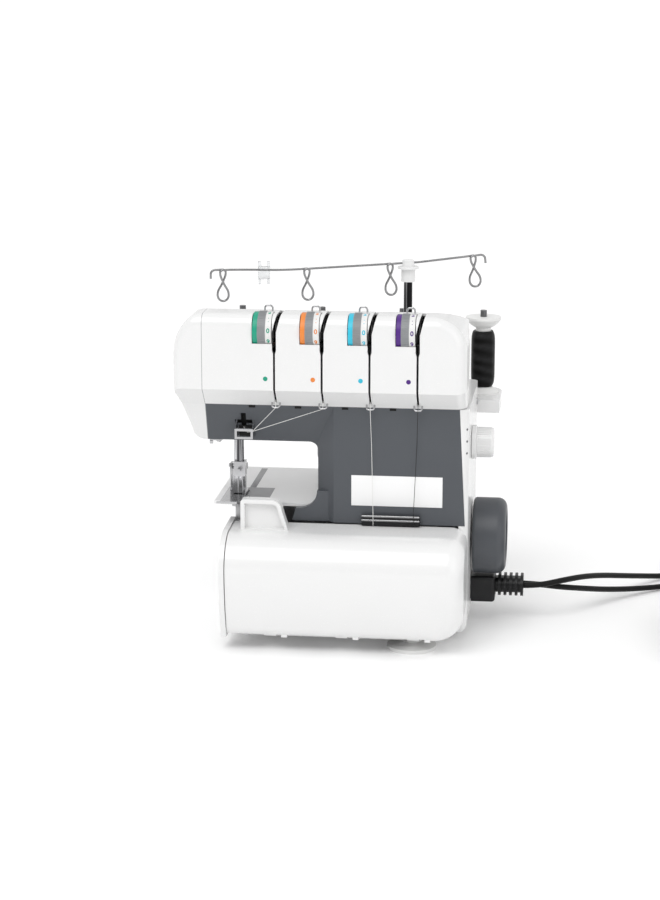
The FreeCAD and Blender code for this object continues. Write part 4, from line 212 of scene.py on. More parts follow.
# Frame and works: a grey aluminium casting, ground steel shafts, blades and plates, an enamelled motor
# and a rubber belt, mostly hidden by the covers.
cast_aluminium = finish("cast_aluminium", (0.50, 0.51, 0.52), (0.42, 0.43, 0.44),
                        roughness=0.55, grain=420, relief=0.5, metallic=0.9)
dress(cast_aluminium, "main_frame")
ground_steel = finish("ground_steel", (0.56, 0.56, 0.57), (0.46, 0.46, 0.47),
                      roughness=0.30, grain=260, relief=0.12, metallic=1.0, stretch=(1, 14, 1))
dress(ground_steel, "main_shaft", "shaft_bearings", "needle_clamp", "needles", "feed_dogs",
      "lower_knife", "upper_knife", "lower_looper", "upper_looper", "inner_plate", "cover_hinge_rod",
      "motor_rotor")
black_steel = finish("black_steel", (0.020, 0.020, 0.021), (0.014, 0.014, 0.015),
                     roughness=0.40, grain=500, relief=0.1)
dress(black_steel, "tension_rack")
motor_enamel = finish("motor_enamel", (0.045, 0.045, 0.05), (0.03, 0.03, 0.034),
                      roughness=0.38, grain=700, relief=0.15)
dress(motor_enamel, "motor")
belt_rubber = finish("belt_rubber", (0.03, 0.03, 0.03), (0.02, 0.02, 0.02),
                     roughness=0.75, grain=900, relief=0.4)
dress(belt_rubber, "drive_belt")

# Bed: satin aluminium cloth plate brushed from left to right, and a darker ground steel needle plate
# let into it.
bed_metal = finish("bed_metal", (0.91, 0.91, 0.91), (0.87, 0.87, 0.87),
                   roughness=0.38, grain=300, relief=0.05, metallic=0.55, stretch=(1, 10, 1))
dress(bed_metal, "cloth_plate")
needle_plate_steel = finish("needle_plate_steel", (0.30, 0.30, 0.31), (0.25, 0.25, 0.26),
                            roughness=0.34, grain=260, relief=0.10, metallic=0.9, stretch=(12, 1, 1))
dress(needle_plate_steel, "needle_plate")


# Bright metal: needle and presser bars, foot, thread hooks, guide wire, pole and spool pins, all steel,
# drawn or pressed, then plated and polished.
def streaked(name, dark, light, roughness, across, along):
    """Plated metal whose colour runs in dark and light streaks along its length: painted reflection,
    partly also the look of drawn, brushed metal.
    """
    material = finish(name, light, light, roughness=roughness, grain=380, relief=0.03, metallic=1.0)
    place = add(material, "ShaderNodeTexCoord")
    streak_stretch = add(material, "ShaderNodeMapping", {"Scale": (across, across, along)})
    reflection_streaks = add(material, "ShaderNodeTexNoise", {"Scale": 1.0, "Detail": 1.0})
    ramp = add(material, "ShaderNodeValToRGB")
    first, last = ramp.color_ramp.elements
    first.position, first.color = 0.42, (*dark, 1)
    last.position, last.color = 0.60, (*light, 1)
    join(material, place.outputs["Object"], streak_stretch.inputs["Vector"])
    join(material, streak_stretch.outputs["Vector"], reflection_streaks.inputs["Vector"])
    join(material, reflection_streaks.outputs["Fac"], ramp.inputs["Fac"])
    join(material, ramp.outputs["Color"], surface_of(material).inputs["Base Color"])
    return material


# Needle and presser bars and the pole: their dark and light streaks are painted reflection in the colour.
chrome = streaked("chrome", dark=(0.07, 0.07, 0.075), light=(0.70, 0.70, 0.72),
                  roughness=0.14, across=320, along=12)
dress(chrome, "needle_bar", "presser_bar")
pole_chrome = streaked("pole_chrome", dark=(0.015, 0.015, 0.016), light=(0.55, 0.55, 0.56),
                       roughness=0.12, across=260, along=6)
dress(pole_chrome, "pole_outer_tube", "pole_inner_tube")
plated_steel = finish("plated_steel", (0.60, 0.60, 0.61), (0.42, 0.42, 0.43),
                      roughness=0.18, grain=380, relief=0.05, metallic=1.0)
dress(plated_steel, "thread_guides", "presser_foot")
wire_steel = finish("wire_steel", (0.36, 0.36, 0.365), (0.26, 0.26, 0.265),
                    roughness=0.25, grain=500, relief=0.06, metallic=1.0)
dress(wire_steel, "guide_wire")
pin_steel = finish("pin_steel", (0.17, 0.17, 0.175), (0.13, 0.13, 0.135),
                   roughness=0.30, grain=500, relief=0.06, metallic=1.0)
dress(pin_steel, "spool_pins")

# Feet: suction cups of pale rubber, each with a stem that is pressed into the base, so the machine
# doesn't walk on the table.
foot_rubber = finish("foot_rubber", (0.74, 0.74, 0.73), (0.68, 0.68, 0.67),
                     roughness=0.55, grain=800, relief=0.2)
dress(foot_rubber, "suction_feet")


# Black mouldings: socket, plug with ribbed boot, switch, guide bar and foot control, in black plastic
# with a fine grain.
def black_moulding(name):
    """Black plastic with little shine."""
    return finish(name, (0.015, 0.015, 0.016), (0.010, 0.010, 0.011),
                  roughness=0.36, grain=1600, relief=0.12, specular=0.25)


black_plastic = black_moulding("black_plastic")
dress(black_plastic, "mains_inlet", "connector_plug", "switch_frame", "switch_rocker", "looper_guide_bar",
      "pedal_base", "pedal_treadle")

# Mains plug: a black moulded grip with two bare blades of nickel-plated brass, moulded on the end of
# the mains lead.
BLADE_LONG, BLADE_NICKEL = 17 * MM, (0.58, 0.56, 0.52)
plug_plastic = black_moulding("plug_plastic")
blade_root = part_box("mains_plug")[0].y + BLADE_LONG
blades = add(plug_plastic, "ShaderNodeMath", {1: blade_root}, operation="LESS_THAN")
join(plug_plastic, coordinate(plug_plastic, "Y"), blades.inputs[0])
recolour(plug_plastic, blades.outputs["Value"], BLADE_NICKEL)
join(plug_plastic, blades.outputs["Value"], surface_of(plug_plastic).inputs["Metallic"])
dress(plug_plastic, "mains_plug")

# Spool seats and caps: turned forms in matt white plastic. The seats stand on the tray, and the caps
# hold the spools down on their pins.
cap_plastic = finish("cap_plastic", (0.84, 0.84, 0.83), (0.79, 0.79, 0.78),
                     roughness=0.45, grain=1100, relief=0.06)
dress(cap_plastic, "spool_holders")

# Tension dials: four thumbwheels, each moulded with a coloured band, a ribbed grey grip and a white
# strip whose numbers are printed in the band's colour. A dot of the same colour marks its slot.
DIAL_COLOURS = {"green": (0.010, 0.35, 0.22), "orange": (0.84, 0.255, 0.048),
                "cyan": (0.035, 0.54, 0.73), "purple": (0.078, 0.013, 0.215)}
GRIP_GREY, GRIP_SHADE, STRIP_WHITE = (0.30, 0.31, 0.32), (0.27, 0.28, 0.29), (0.80, 0.80, 0.79)
BAND_END, GRIP_END, STRIP_DROP = 4 / 16, 11 / 16, 0.48 * MM
RIB_COUNT, RIB_SIZE = 60, (0.7 * MM, 0.8 * MM, 6.0 * MM)
DIGITS, DIGIT_STEPS, DIGIT_HIGH, DIGIT_RAISE, DIGIT_BOLD = 10, 4, 5.6 * MM, 0.04 * MM, 0.16 * MM
DOT_R, DOT_RAISE, DOT_RIGHT, DOT_Z = 2.0 * MM, 0.25 * MM, -5.2 * MM, 0.2333
CHAMFERED, INK_SHADE = 0.8, 0.85


def node_tree(name, inputs):
    """Geometry tree with named inputs and one geometry output."""
    tree = bpy.data.node_groups.new(name, "GeometryNodeTree")
    for label, kind in inputs:
        tree.interface.new_socket(name=label, in_out="INPUT", socket_type=kind)
    tree.interface.new_socket(name="Geometry", in_out="OUTPUT", socket_type="NodeSocketGeometry")
    return tree, tree.nodes.new("NodeGroupInput"), tree.nodes.new("NodeGroupOutput")


def finish_tree(tree, given, sent, instances):
    """End a tree: instances made real, given their finish and sent out."""
    real = tree.nodes.new("GeometryNodeRealizeInstances")
    paint = tree.nodes.new("GeometryNodeSetMaterial")
    tree.links.new(instances, real.inputs["Geometry"])
    tree.links.new(real.outputs["Geometry"], paint.inputs["Geometry"])
    tree.links.new(given.outputs["Finish"], paint.inputs["Material"])
    tree.links.new(paint.outputs["Geometry"], sent.inputs["Geometry"])
    return tree


def rib_ring_tree():
    """Ring of equal ribs about the Z axis."""
    tree, given, sent = node_tree("rib_ring", [
        ("Count", "NodeSocketInt"), ("Radius", "NodeSocketFloat"), ("Rib size", "NodeSocketVector"),
        ("Finish", "NodeSocketMaterial")])
    ring = tree.nodes.new("GeometryNodeMeshCircle")
    rib = tree.nodes.new("GeometryNodeMeshCube")
    spread = tree.nodes.new("GeometryNodeInstanceOnPoints")
    where = tree.nodes.new("GeometryNodeInputPosition")
    turn = tree.nodes.new("FunctionNodeAlignRotationToVector")
    turn.axis = "X"
    tree.links.new(given.outputs["Count"], ring.inputs["Vertices"])
    tree.links.new(given.outputs["Radius"], ring.inputs["Radius"])
    tree.links.new(given.outputs["Rib size"], rib.inputs["Size"])
    tree.links.new(where.outputs["Position"], turn.inputs["Vector"])
    tree.links.new(ring.outputs["Mesh"], spread.inputs["Points"])
    tree.links.new(rib.outputs["Mesh"], spread.inputs["Instance"])
    tree.links.new(turn.outputs["Rotation"], spread.inputs["Rotation"])
    return finish_tree(tree, given, sent, spread.outputs["Instances"])


def made_real(carrier):
    """Plain mesh of an object as Blender evaluates it. The object is then removed."""
    bpy.context.scene.collection.objects.link(carrier)
    mesh = bpy.data.meshes.new_from_object(carrier.evaluated_get(bpy.context.evaluated_depsgraph_get()))
    bpy.data.objects.remove(carrier)
    return mesh


def grown(tree, values, seed=None):
    """Plain mesh that a geometry tree gives for these input values, from seed points if it takes any."""
    carrier = bpy.data.objects.new("carrier", seed or bpy.data.meshes.new("carrier"))
    modifier = carrier.modifiers.new("tree", "NODES")
    modifier.node_group = tree
    for item in tree.interface.items_tree:
        if item.in_out == "INPUT" and item.name in values:
            modifier[item.identifier] = values[item.name]
    return made_real(carrier)


def set_out(name, data, body):
    """Object for a finished mesh or curve, riding on a body, with its finish slot."""
    data.name = name
    piece = bpy.data.objects.new(name, data)
    bpy.context.scene.collection.objects.link(piece)
    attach(piece, body)
    return piece


def from_bmesh(mesh, material, smooth=40):
    """Mesh data from a closed bmesh, faces outward, smooth below an angle, or flat if that is zero."""
    bmesh.ops.remove_doubles(mesh, verts=mesh.verts, dist=1e-7)
    bmesh.ops.recalc_face_normals(mesh, faces=mesh.faces)
    data = bpy.data.meshes.new("piece")
    mesh.to_mesh(data)
    mesh.free()
    data.materials.append(material)
    if smooth:
        data.shade_smooth()
        data.set_sharp_from_angle(angle=math.radians(smooth))
    return data


def ring_of(mesh, radius, height, place, steps):
    """Ring of points about Z, or one point on the axis."""
    if radius < 1e-6:
        return [mesh.verts.new(place @ Vector((0, 0, height)))]
    return [mesh.verts.new(place @ Vector((radius * math.cos(angle), radius * math.sin(angle), height)))
            for angle in (2 * math.pi * k / steps for k in range(steps))]


def lathe(mesh, profile, place, steps=40):
    """Closed turned form: (radius, height) steps about Z from axis to axis, then put in place."""
    rings = [ring_of(mesh, radius, height, place, steps) for radius, height in profile]
    for low, high in zip(rings, rings[1:]):
        for k in range(steps):
            j = (k + 1) % steps
            if len(low) == 1:
                mesh.faces.new((low[0], high[j], high[k]))
            elif len(high) == 1:
                mesh.faces.new((low[k], low[j], high[0]))
            else:
                mesh.faces.new((low[k], low[j], high[j], high[k]))


def along_x(x, y, z):
    """Place that turns a form's own Z to the machine's X."""
    return Matrix.Translation((x, y, z)) @ Matrix.Rotation(math.pi / 2, 4, "Y")


def towards_front(x, y, z):
    """Place that turns a form's own Z to the front of the machine."""
    return Matrix.Translation((x, y, z)) @ Matrix.Rotation(math.pi / 2, 4, "X")


def banded_dial(name, colour, left, wide):
    """Dial plastic in three rings of colour along the X axis, with a fine moulded grain."""
    material = finish(name, GRIP_GREY, GRIP_GREY, roughness=0.42, grain=1800, relief=0.08)
    along = add(material, "ShaderNodeMapRange", {"From Min": left, "From Max": left + wide})
    rings = add(material, "ShaderNodeValToRGB")
    rings.color_ramp.interpolation = "CONSTANT"
    rings.color_ramp.elements[0].color = (*colour, 1)
    rings.color_ramp.elements[1].position = BAND_END
    rings.color_ramp.elements[1].color = (*GRIP_GREY, 1)
    rings.color_ramp.elements.new(GRIP_END).color = (*STRIP_WHITE, 1)
    join(material, coordinate(material, "X"), along.inputs["Value"])
    join(material, along.outputs["Result"], rings.inputs["Fac"])
    join(material, rings.outputs["Color"], surface_of(material).inputs["Base Color"])
    return material


def dial_numbers(ink, left, axis_y, axis_z, radius):
    """Numbers laid round the white strip, each one bent to the strip's curve."""
    mesh = bmesh.new()
    for digit in range(DIGITS):
        letter = bpy.data.curves.new("digit", "FONT")
        letter.body = str(digit)
        letter.size = DIGIT_HIGH
        letter.align_x = "CENTER"
        letter.resolution_u = DIGIT_STEPS
        letter.extrude = DIGIT_RAISE
        letter.offset = DIGIT_BOLD
        flat = made_real(bpy.data.objects.new("digit", letter))
        for vert in flat.vertices:
            angle = 2 * math.pi * digit / DIGITS + vert.co.y / radius
            reach = radius + vert.co.z
            vert.co = (left + vert.co.x, axis_y - reach * math.cos(angle),
                       axis_z + reach * math.sin(angle))
        mesh.from_mesh(flat)
    return from_bmesh(mesh, ink, smooth=0)


rib_ring = rib_ring_tree()
grip_plastic = finish("grip_plastic", GRIP_GREY, GRIP_SHADE, roughness=0.45, grain=1500, relief=0.1)
head_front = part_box("head_cover")[0].y
for number, (tint, colour) in enumerate(DIAL_COLOURS.items(), 1):
    body = f"tension_dial_{number}"
    low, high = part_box(body)
    wide, middle = high.x - low.x, (low + high) / 2
    grip_r = (high.z - low.z) / 2
    dress(banded_dial(f"{tint}_dial", colour, low.x, wide), body)
    ribs = grown(rib_ring, {"Count": RIB_COUNT, "Radius": grip_r, "Rib size": RIB_SIZE,
                            "Finish": grip_plastic})
    ribs.transform(along_x(low.x + wide * (BAND_END + GRIP_END) / 2, middle.y, middle.z))
    set_out(f"dial_ribs_{number}", ribs, body)
    ink = finish(f"{tint}_ink", colour, tuple(c * INK_SHADE for c in colour),
                 roughness=0.5, grain=2500, relief=0.05)
    numbers = dial_numbers(ink, low.x + wide * (GRIP_END + 1) / 2, middle.y, middle.z,
                           grip_r - STRIP_DROP)
    set_out(f"dial_numbers_{number}", numbers, body)
    dot = bmesh.new()
    lathe(dot, [(0, -DOT_RAISE), (DOT_R, -DOT_RAISE), (DOT_R, DOT_RAISE / 2),
                (DOT_R * CHAMFERED, DOT_RAISE), (0, DOT_RAISE)],
          towards_front(high.x + DOT_RIGHT, head_front, DOT_Z))
    set_out(f"slot_dot_{number}", from_bmesh(dot, ink), "machine")

# Clip notches: small slots along the joint of head and panel, where the panel snaps in, each drawn as a
# slab of matt black: painted shade of the slot. The arm's guide slot and the panel behind the guide's
# window are covered by sheets of the same matt black: painted shade where the inside is dark.
NOTCH_XS = (-0.0762, -0.036, 0.0049, 0.0464)
NOTCH_WIDE, NOTCH_HIGH, NOTCH_GAP = 5.6 * MM, 2.2 * MM, 0.1 * MM
NOTCH_RAISE, NOTCH_SOFT = 0.3 * MM, 0.12 * MM
ARM_LEAN, SHADE_SHEET_SOFT = math.atan2(12, 34), 0.1 * MM
SLOT_SHADE = ((-84.5, -60.2, 191.5), (22, 1, 21))
WINDOW_SHADE = ((-82.7, -61.7, 182.2), (12.4, 0.6, 11))
# Matt black that stands for the shade inside slots and recesses: painted shade.
painted_shade_black = finish("painted_shade_black", (0.006, 0.006, 0.006), (0.004, 0.004, 0.004),
                      roughness=0.9, grain=900, relief=0.1)


def slab(mesh, low, high, soft):
    """Box with softened edges between two corners."""
    made = bmesh.ops.create_cube(mesh, size=1.0)["verts"]
    size, middle = Vector(high) - Vector(low), (Vector(high) + Vector(low)) / 2
    bmesh.ops.transform(mesh, matrix=Matrix.Translation(middle) @ Matrix.Diagonal((*size, 1)), verts=made)
    edges = list(dict.fromkeys(edge for vert in made for edge in vert.link_edges))
    bmesh.ops.bevel(mesh, geom=edges, offset=soft, segments=2, profile=0.5, affect="EDGES")


panel_top, panel_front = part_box("front_panel")[1].z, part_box("front_panel")[0].y
notches = bmesh.new()
for x in NOTCH_XS:
    slab(notches, (x - NOTCH_WIDE / 2, panel_front - NOTCH_RAISE, panel_top - NOTCH_HIGH),
         (x + NOTCH_WIDE / 2, panel_front + NOTCH_RAISE, panel_top - NOTCH_GAP), NOTCH_SOFT)
set_out("panel_notches", from_bmesh(notches, painted_shade_black), "machine")
shade_sheets = bmesh.new()
for centre, size in (SLOT_SHADE, WINDOW_SHADE):
    plate = bmesh.new()
    half = Vector(size) * MM / 2
    slab(plate, -half, half, SHADE_SHEET_SOFT)
    place = Matrix.Translation(Vector(centre) * MM) @ Matrix.Rotation(ARM_LEAN, 4, "X")
    bmesh.ops.transform(plate, matrix=place, verts=plate.verts)
    shade_sheets.from_mesh(from_bmesh(plate, painted_shade_black, smooth=0))
set_out("arm_linings", from_bmesh(shade_sheets, painted_shade_black), "machine")

# Label plate: thin bare plate of white laminate with soft corners, bonded to the slate panel below
# the thread hooks.
LABEL_LEFT, LABEL_RIGHT, LABEL_LOW, LABEL_HIGH = 0.0105, 0.0898, 0.120, 0.147
LABEL_THICK, LABEL_SINK, LABEL_SOFT = 0.5 * MM, 0.2 * MM, 0.2 * MM
label_white = finish("label_white", (0.93, 0.93, 0.93), (0.91, 0.91, 0.91),
                     roughness=0.32, grain=1200, relief=0.05)
label = bmesh.new()
slab(label, (LABEL_LEFT, panel_front - LABEL_THICK, LABEL_LOW),
     (LABEL_RIGHT, panel_front + LABEL_SINK, LABEL_HIGH), LABEL_SOFT)
set_out("label_plate", from_bmesh(label, label_white), "machine")

# Guide rods: two bright steel rods along the front of the black bar that leads the looper threads,
# half sunk in it.
ROD_R, ROD_SOFT, ROD_IN, ROD_DROPS = 1.0 * MM, 0.2 * MM, 0.9 * MM, (0.9 * MM, 4.5 * MM)
bar_low, bar_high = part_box("looper_guide_bar")
bar_long = bar_high.x - bar_low.x
rods = bmesh.new()
for drop in ROD_DROPS:
    lathe(rods, [(0, 0), (ROD_R * CHAMFERED, 0), (ROD_R, ROD_SOFT), (ROD_R, bar_long - ROD_SOFT),
                 (ROD_R * CHAMFERED, bar_long), (0, bar_long)],
          along_x(bar_low.x, bar_low.y + ROD_IN, bar_high.z - drop), steps=20)
set_out("guide_rods", from_bmesh(rods, wire_steel), "machine")

# Foot shank: two plated cheeks with a cross screw that clamp the presser foot to its bar. It moves
# with the foot.
CHEEK_IN, CHEEK_THICK, CHEEK_DEEP, CHEEK_SOFT = 4.5 * MM, 2.2 * MM, 9 * MM, 0.4 * MM
CHEEK_DROP, CHEEK_RISE = 20 * MM, 5 * MM
CROSS_R, CROSS_HEAD_R = 1.6 * MM, 3.0 * MM
CROSS_STEM, CROSS_RIM, CROSS_LONG = 14 * MM, 16.5 * MM, 17 * MM
CROSS_LEFT, CROSS_FRONT, CROSS_RISE = 8 * MM, 1 * MM, 2.5 * MM
foot_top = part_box("presser_foot")[1].z
bar_near, bar_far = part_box("presser_bar")
shank_x, shank_y = (bar_near.x + bar_far.x) / 2, (bar_near.y + bar_far.y) / 2
shank = bmesh.new()
lathe(shank, [(0, 0), (CROSS_R, 0), (CROSS_R, CROSS_STEM), (CROSS_HEAD_R, CROSS_STEM),
              (CROSS_HEAD_R, CROSS_RIM), (CROSS_HEAD_R * CHAMFERED, CROSS_LONG), (0, CROSS_LONG)],
      along_x(shank_x - CROSS_LEFT, shank_y - CROSS_FRONT, foot_top + CROSS_RISE), steps=24)
for side in (-1, 1):
    x = shank_x + side * (CHEEK_IN + CHEEK_THICK / 2)
    slab(shank, (x - CHEEK_THICK / 2, shank_y - CHEEK_DEEP / 2, foot_top - CHEEK_DROP),
         (x + CHEEK_THICK / 2, shank_y + CHEEK_DEEP / 2, foot_top + CHEEK_RISE), CHEEK_SOFT)
set_out("foot_shank", from_bmesh(shank, plated_steel), "presser")


# Knife block and thread cutter: ground steel block that holds the fixed knife under the bed's front
# edge, and a small bent plate screwed under the arm. Their corners are given in millimetres.
def mm(*lengths):
    """Lengths given in millimetres, as metres."""
    return tuple(length * MM for length in lengths)


def in_metres(points):
    """Points given in millimetres, as metres."""
    return [mm(*point) for point in points]


BLOCK = (mm(-92.2, -66, 96), mm(-87.2, -60.1, 117.4), 0.5 * MM)
BLOCK_SCREW_AT = mm(-89.7, -66, 101)
BLOCK_SCREW = ((0, -1), (2.2, -1), (2.2, 1), (1.7, 1.5), (0.9, 1.5), (0.9, 0.6), (0, 0.6))
CUTTER_PLATE = (mm(-116, -57, 171.6), mm(-105, -48, 173), 0.3 * MM)
CUTTER_LIP = (mm(-116, -57, 168.6), mm(-113, -55.8, 172), 0.3 * MM)
CUTTER_SCREW_AT = mm(-108.5, -53, 171.8)
CUTTER_SCREW = ((0, -0.5), (2.4, -0.5), (2.4, 1.2), (1.8, 1.8), (0, 1.8))
block = bmesh.new()
lathe(block, in_metres(BLOCK_SCREW), towards_front(*BLOCK_SCREW_AT), steps=24)
slab(block, *BLOCK)
set_out("knife_block", from_bmesh(block, ground_steel), "machine")
cutter = bmesh.new()
lathe(cutter, in_metres(CUTTER_SCREW),
      Matrix.Translation(CUTTER_SCREW_AT) @ Matrix.Rotation(math.pi, 4, "X"), steps=24)
slab(cutter, *CUTTER_PLATE)
slab(cutter, *CUTTER_LIP)
set_out("thread_cutter", from_bmesh(cutter, plated_steel), "machine")

# Bed trim: a darker steel strip let into the cloth plate, almost flush, from the needle plate to near
# the back edge.
STRIP_LEFT, STRIP_RIGHT, STRIP_RAISE, STRIP_SOFT = -88 * MM, -82.4 * MM, 0.12 * MM, 0.05 * MM
STRIP_GAP, STRIP_SHORT = 0.3 * MM, 6 * MM
bed_far, plate_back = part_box("cloth_plate")[1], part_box("needle_plate")[1].y
strip = bmesh.new()
slab(strip, (STRIP_LEFT, plate_back + STRIP_GAP, bed_far.z - STRIP_RAISE),
     (STRIP_RIGHT, bed_far.y - STRIP_SHORT, bed_far.z + STRIP_RAISE), STRIP_SOFT)
set_out("bed_strip", from_bmesh(strip, needle_plate_steel), "machine")

# Stitch knob: white knob with fine ribs moulded round its grip, on a spindle in the side cover. Three
# printed dots on the corner of the wall show its range.
KNOB_RIBS, KNOB_RIB_AT, KNOB_RIB_IN, KNOB_RIB_SIZE = 40, 13 * MM, 8.6 * MM, mm(0.9, 1.0, 12)
MARK_ZS, MARK_R, MARK_TURN = mm(189.5, 179, 168.5), 1.0 * MM, math.radians(50)
MARK_SINK, MARK_RIM, MARK_RAISE, WALL_CORNER = 0.3 * MM, 0.1 * MM, 0.15 * MM, 7 * MM
knob_low, knob_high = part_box("stitch_dial")
knob_ribs = grown(rib_ring, {"Count": KNOB_RIBS, "Radius": KNOB_RIB_AT, "Rib size": KNOB_RIB_SIZE,
                             "Finish": white_plastic})
knob_ribs.transform(along_x(knob_high.x - KNOB_RIB_IN, (knob_low.y + knob_high.y) / 2,
                            (knob_low.z + knob_high.z) / 2))
set_out("knob_ribs", knob_ribs, "stitch_dial")
wall_ink = finish("wall_ink", (0.12, 0.12, 0.13), (0.10, 0.10, 0.11),
                  roughness=0.5, grain=2000, relief=0.05)
side_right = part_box("right_cover")[1].x
marks = bmesh.new()
for z in MARK_ZS:
    corner = Matrix.Translation((side_right - WALL_CORNER, panel_front + WALL_CORNER, z))
    lathe(marks, [(0, -MARK_SINK), (MARK_R, -MARK_SINK), (MARK_R, MARK_RIM), (0, MARK_RAISE)],
          corner @ Matrix.Rotation(MARK_TURN, 4, "Z") @ towards_front(0, -WALL_CORNER, 0), steps=20)
set_out("knob_marks", from_bmesh(marks, wall_ink), "machine")

# Spools: cross-wound thread on plastic cores, three white and one black, set on the pins. The turns of
# thread stand as fine ridges, and a crossed pattern of windings lies over them.
SPOOL_CORE, SPOOL_STEPS, WIND_PITCH, WIND_RISE = 3.05 * MM, 64, 0.9 * MM, 0.10 * MM
SPOOL_NECK, SPOOL_FALL, SPOOL_END, SPOOL_FULL = 2 * MM, 1.4 * MM, 1.5 * MM, 8
WINDINGS = ((0.35, 0.55), (-0.16, 7.0))
FACE_CORNERS, UV_ROUND, UV_UP = ((0, 0), (1, 0), (1, 1), (0, 1)), 2, 3


def wound_thread(name, colour, shade, sheen, gloss):
    """Thread finish: crossed fine windings in relief, laid along the spool's own UV, with a tint lighter
    on the crests and darker between turns: painted highlight and painted shade.
    """
    material = bpy.data.materials.new(name)
    material.use_nodes = True
    surface = surface_of(material)
    surface.inputs["Roughness"].default_value = 0.36
    surface.inputs["Specular IOR Level"].default_value = gloss
    surface.inputs["Sheen Weight"].default_value = sheen
    place = add(material, "ShaderNodeUVMap")
    both = add(material, "ShaderNodeMath", operation="MULTIPLY")
    for socket, (lean, size) in zip(both.inputs, WINDINGS):
        turn = add(material, "ShaderNodeMapping", {"Rotation": (0, 0, lean)})
        wave = add(material, "ShaderNodeTexWave", {"Scale": size, "Distortion": 5.0, "Detail": 3.0},
                   bands_direction="Y")
        join(material, place.outputs["UV"], turn.inputs["Vector"])
        join(material, turn.outputs["Vector"], wave.inputs["Vector"])
        join(material, wave.outputs["Fac"], socket)
    tint = add(material, "ShaderNodeMix", {6: (*shade, 1), 7: (*colour, 1)}, data_type="RGBA")
    join(material, both.outputs["Value"], tint.inputs["Factor"])
    join(material, tint.outputs[2], surface.inputs["Base Color"])
    bump = add(material, "ShaderNodeBump", {"Strength": 0.5, "Distance": 0.0004})
    join(material, both.outputs["Value"], bump.inputs["Height"])
    join(material, bump.outputs["Normal"], surface.inputs["Normal"])
    return material


def wound_spools(places, low, high, radius, material):
    """Spools with helical ridges of thread, slightly fuller at the middle, one mesh for all places."""
    mesh = bmesh.new()
    layer = mesh.loops.layers.uv.new("UVMap")
    wound_high = high - low - 2 * SPOOL_END
    count = round(wound_high / WIND_PITCH) * 2
    rows = [(SPOOL_CORE, low, 0), (radius - SPOOL_NECK, low, 0)]
    for k in range(count + 1):
        share = k / count
        ease = 1 - (2 * share - 1) ** SPOOL_FULL
        ridge = WIND_RISE if k % 2 else -WIND_RISE
        rows.append((radius - SPOOL_FALL * (1 - ease) + ridge, low + SPOOL_END + share * wound_high, 1))
    rows += [(radius - SPOOL_NECK, high, 0), (SPOOL_CORE, high, 0)]
    for x, y in places:
        rings = []
        for r, z, wound in rows:
            ring = []
            for j in range(SPOOL_STEPS):
                angle = 2 * math.pi * j / SPOOL_STEPS
                lift = wound * WIND_PITCH * (0.5 - abs(j / SPOOL_STEPS - 0.5)) * 2
                ring.append(mesh.verts.new((x + r * math.cos(angle), y + r * math.sin(angle), z + lift)))
            rings.append(ring)
        for i, below in enumerate(rings):
            above = rings[(i + 1) % len(rings)]
            for j in range(SPOOL_STEPS):
                n = (j + 1) % SPOOL_STEPS
                face = mesh.faces.new((below[j], below[n], above[n], above[j]))
                for loop, (du, dv) in zip(face.loops, FACE_CORNERS):
                    loop[layer].uv = ((j + du) / SPOOL_STEPS * UV_ROUND, (i + dv) / len(rings) * UV_UP)
    return from_bmesh(mesh, material, smooth=50)


spool_low, spool_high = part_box("black_spool")
spool_r = (spool_high.x - spool_low.x) / 2
black_x, spool_y = (spool_low.x + spool_high.x) / 2, (spool_low.y + spool_high.y) / 2
white_low, white_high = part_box("white_spools")
white_first, white_last = white_low.x + spool_r, white_high.x - spool_r
# Each thread's two colours: the lighter one is painted highlight on the crests, the darker one painted
# shade between turns.
black_thread = wound_thread("black_thread", (0.034, 0.034, 0.036), (0.003, 0.003, 0.003),
                            sheen=0.0, gloss=0.12)
black_spool = set_out("black_winding", wound_spools(
    [(black_x, spool_y)], spool_low.z, spool_high.z, spool_r, black_thread), "machine")
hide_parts("black_spool")
white_thread = wound_thread("white_thread", (0.86, 0.86, 0.84), (0.70, 0.70, 0.68),
                            sheen=0.2, gloss=0.35)
white_spools = set_out("white_windings", wound_spools(
    [(white_first, spool_y), ((white_first + white_last) / 2, spool_y), (white_last, spool_y)],
    white_low.z, white_high.z, spool_r, white_thread), "machine")
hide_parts("white_spools")

# Wire clip: a small clear plastic clip with two prongs above and below, snapped on the guide wire. It
# swivels with the wire.
CLIP_ALONG, CLIP_Z, CLIP_TURN = -0.132, 0.30697, math.radians(12)
CLIP_THICK, CLIP_SOFT = 3 * MM, 0.7 * MM
CLIP_BARS = ((-5.5, 5.5, -9, 2.6), (-5.5, -2.4, 2, 7.5), (2.4, 5.5, 2, 7.5),
             (-5.2, -2.6, -13.5, -8.4), (2.6, 5.2, -13.5, -8.4))
clear_plastic = finish("clear_plastic", (0.90, 0.91, 0.92), (0.86, 0.87, 0.88),
                       roughness=0.22, grain=700, relief=0.05)
surface_of(clear_plastic).inputs["Transmission Weight"].default_value = 0.9
clip = bmesh.new()
for left, right, low, high in in_metres(CLIP_BARS):
    slab(clip, (left, -CLIP_THICK / 2, low), (right, CLIP_THICK / 2, high), CLIP_SOFT)
pole_low, pole_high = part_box("pole_inner_tube")
clip_x = (pole_low.x + pole_high.x) / 2 + CLIP_ALONG * math.cos(CLIP_TURN)
clip_y = (pole_low.y + pole_high.y) / 2 + CLIP_ALONG * math.sin(CLIP_TURN)
bmesh.ops.transform(clip, verts=clip.verts, matrix=Matrix.Translation((clip_x, clip_y, CLIP_Z))
                    @ Matrix.Rotation(CLIP_TURN, 4, "Z"))
set_out("wire_clip", from_bmesh(clip, clear_plastic), "guide_head")

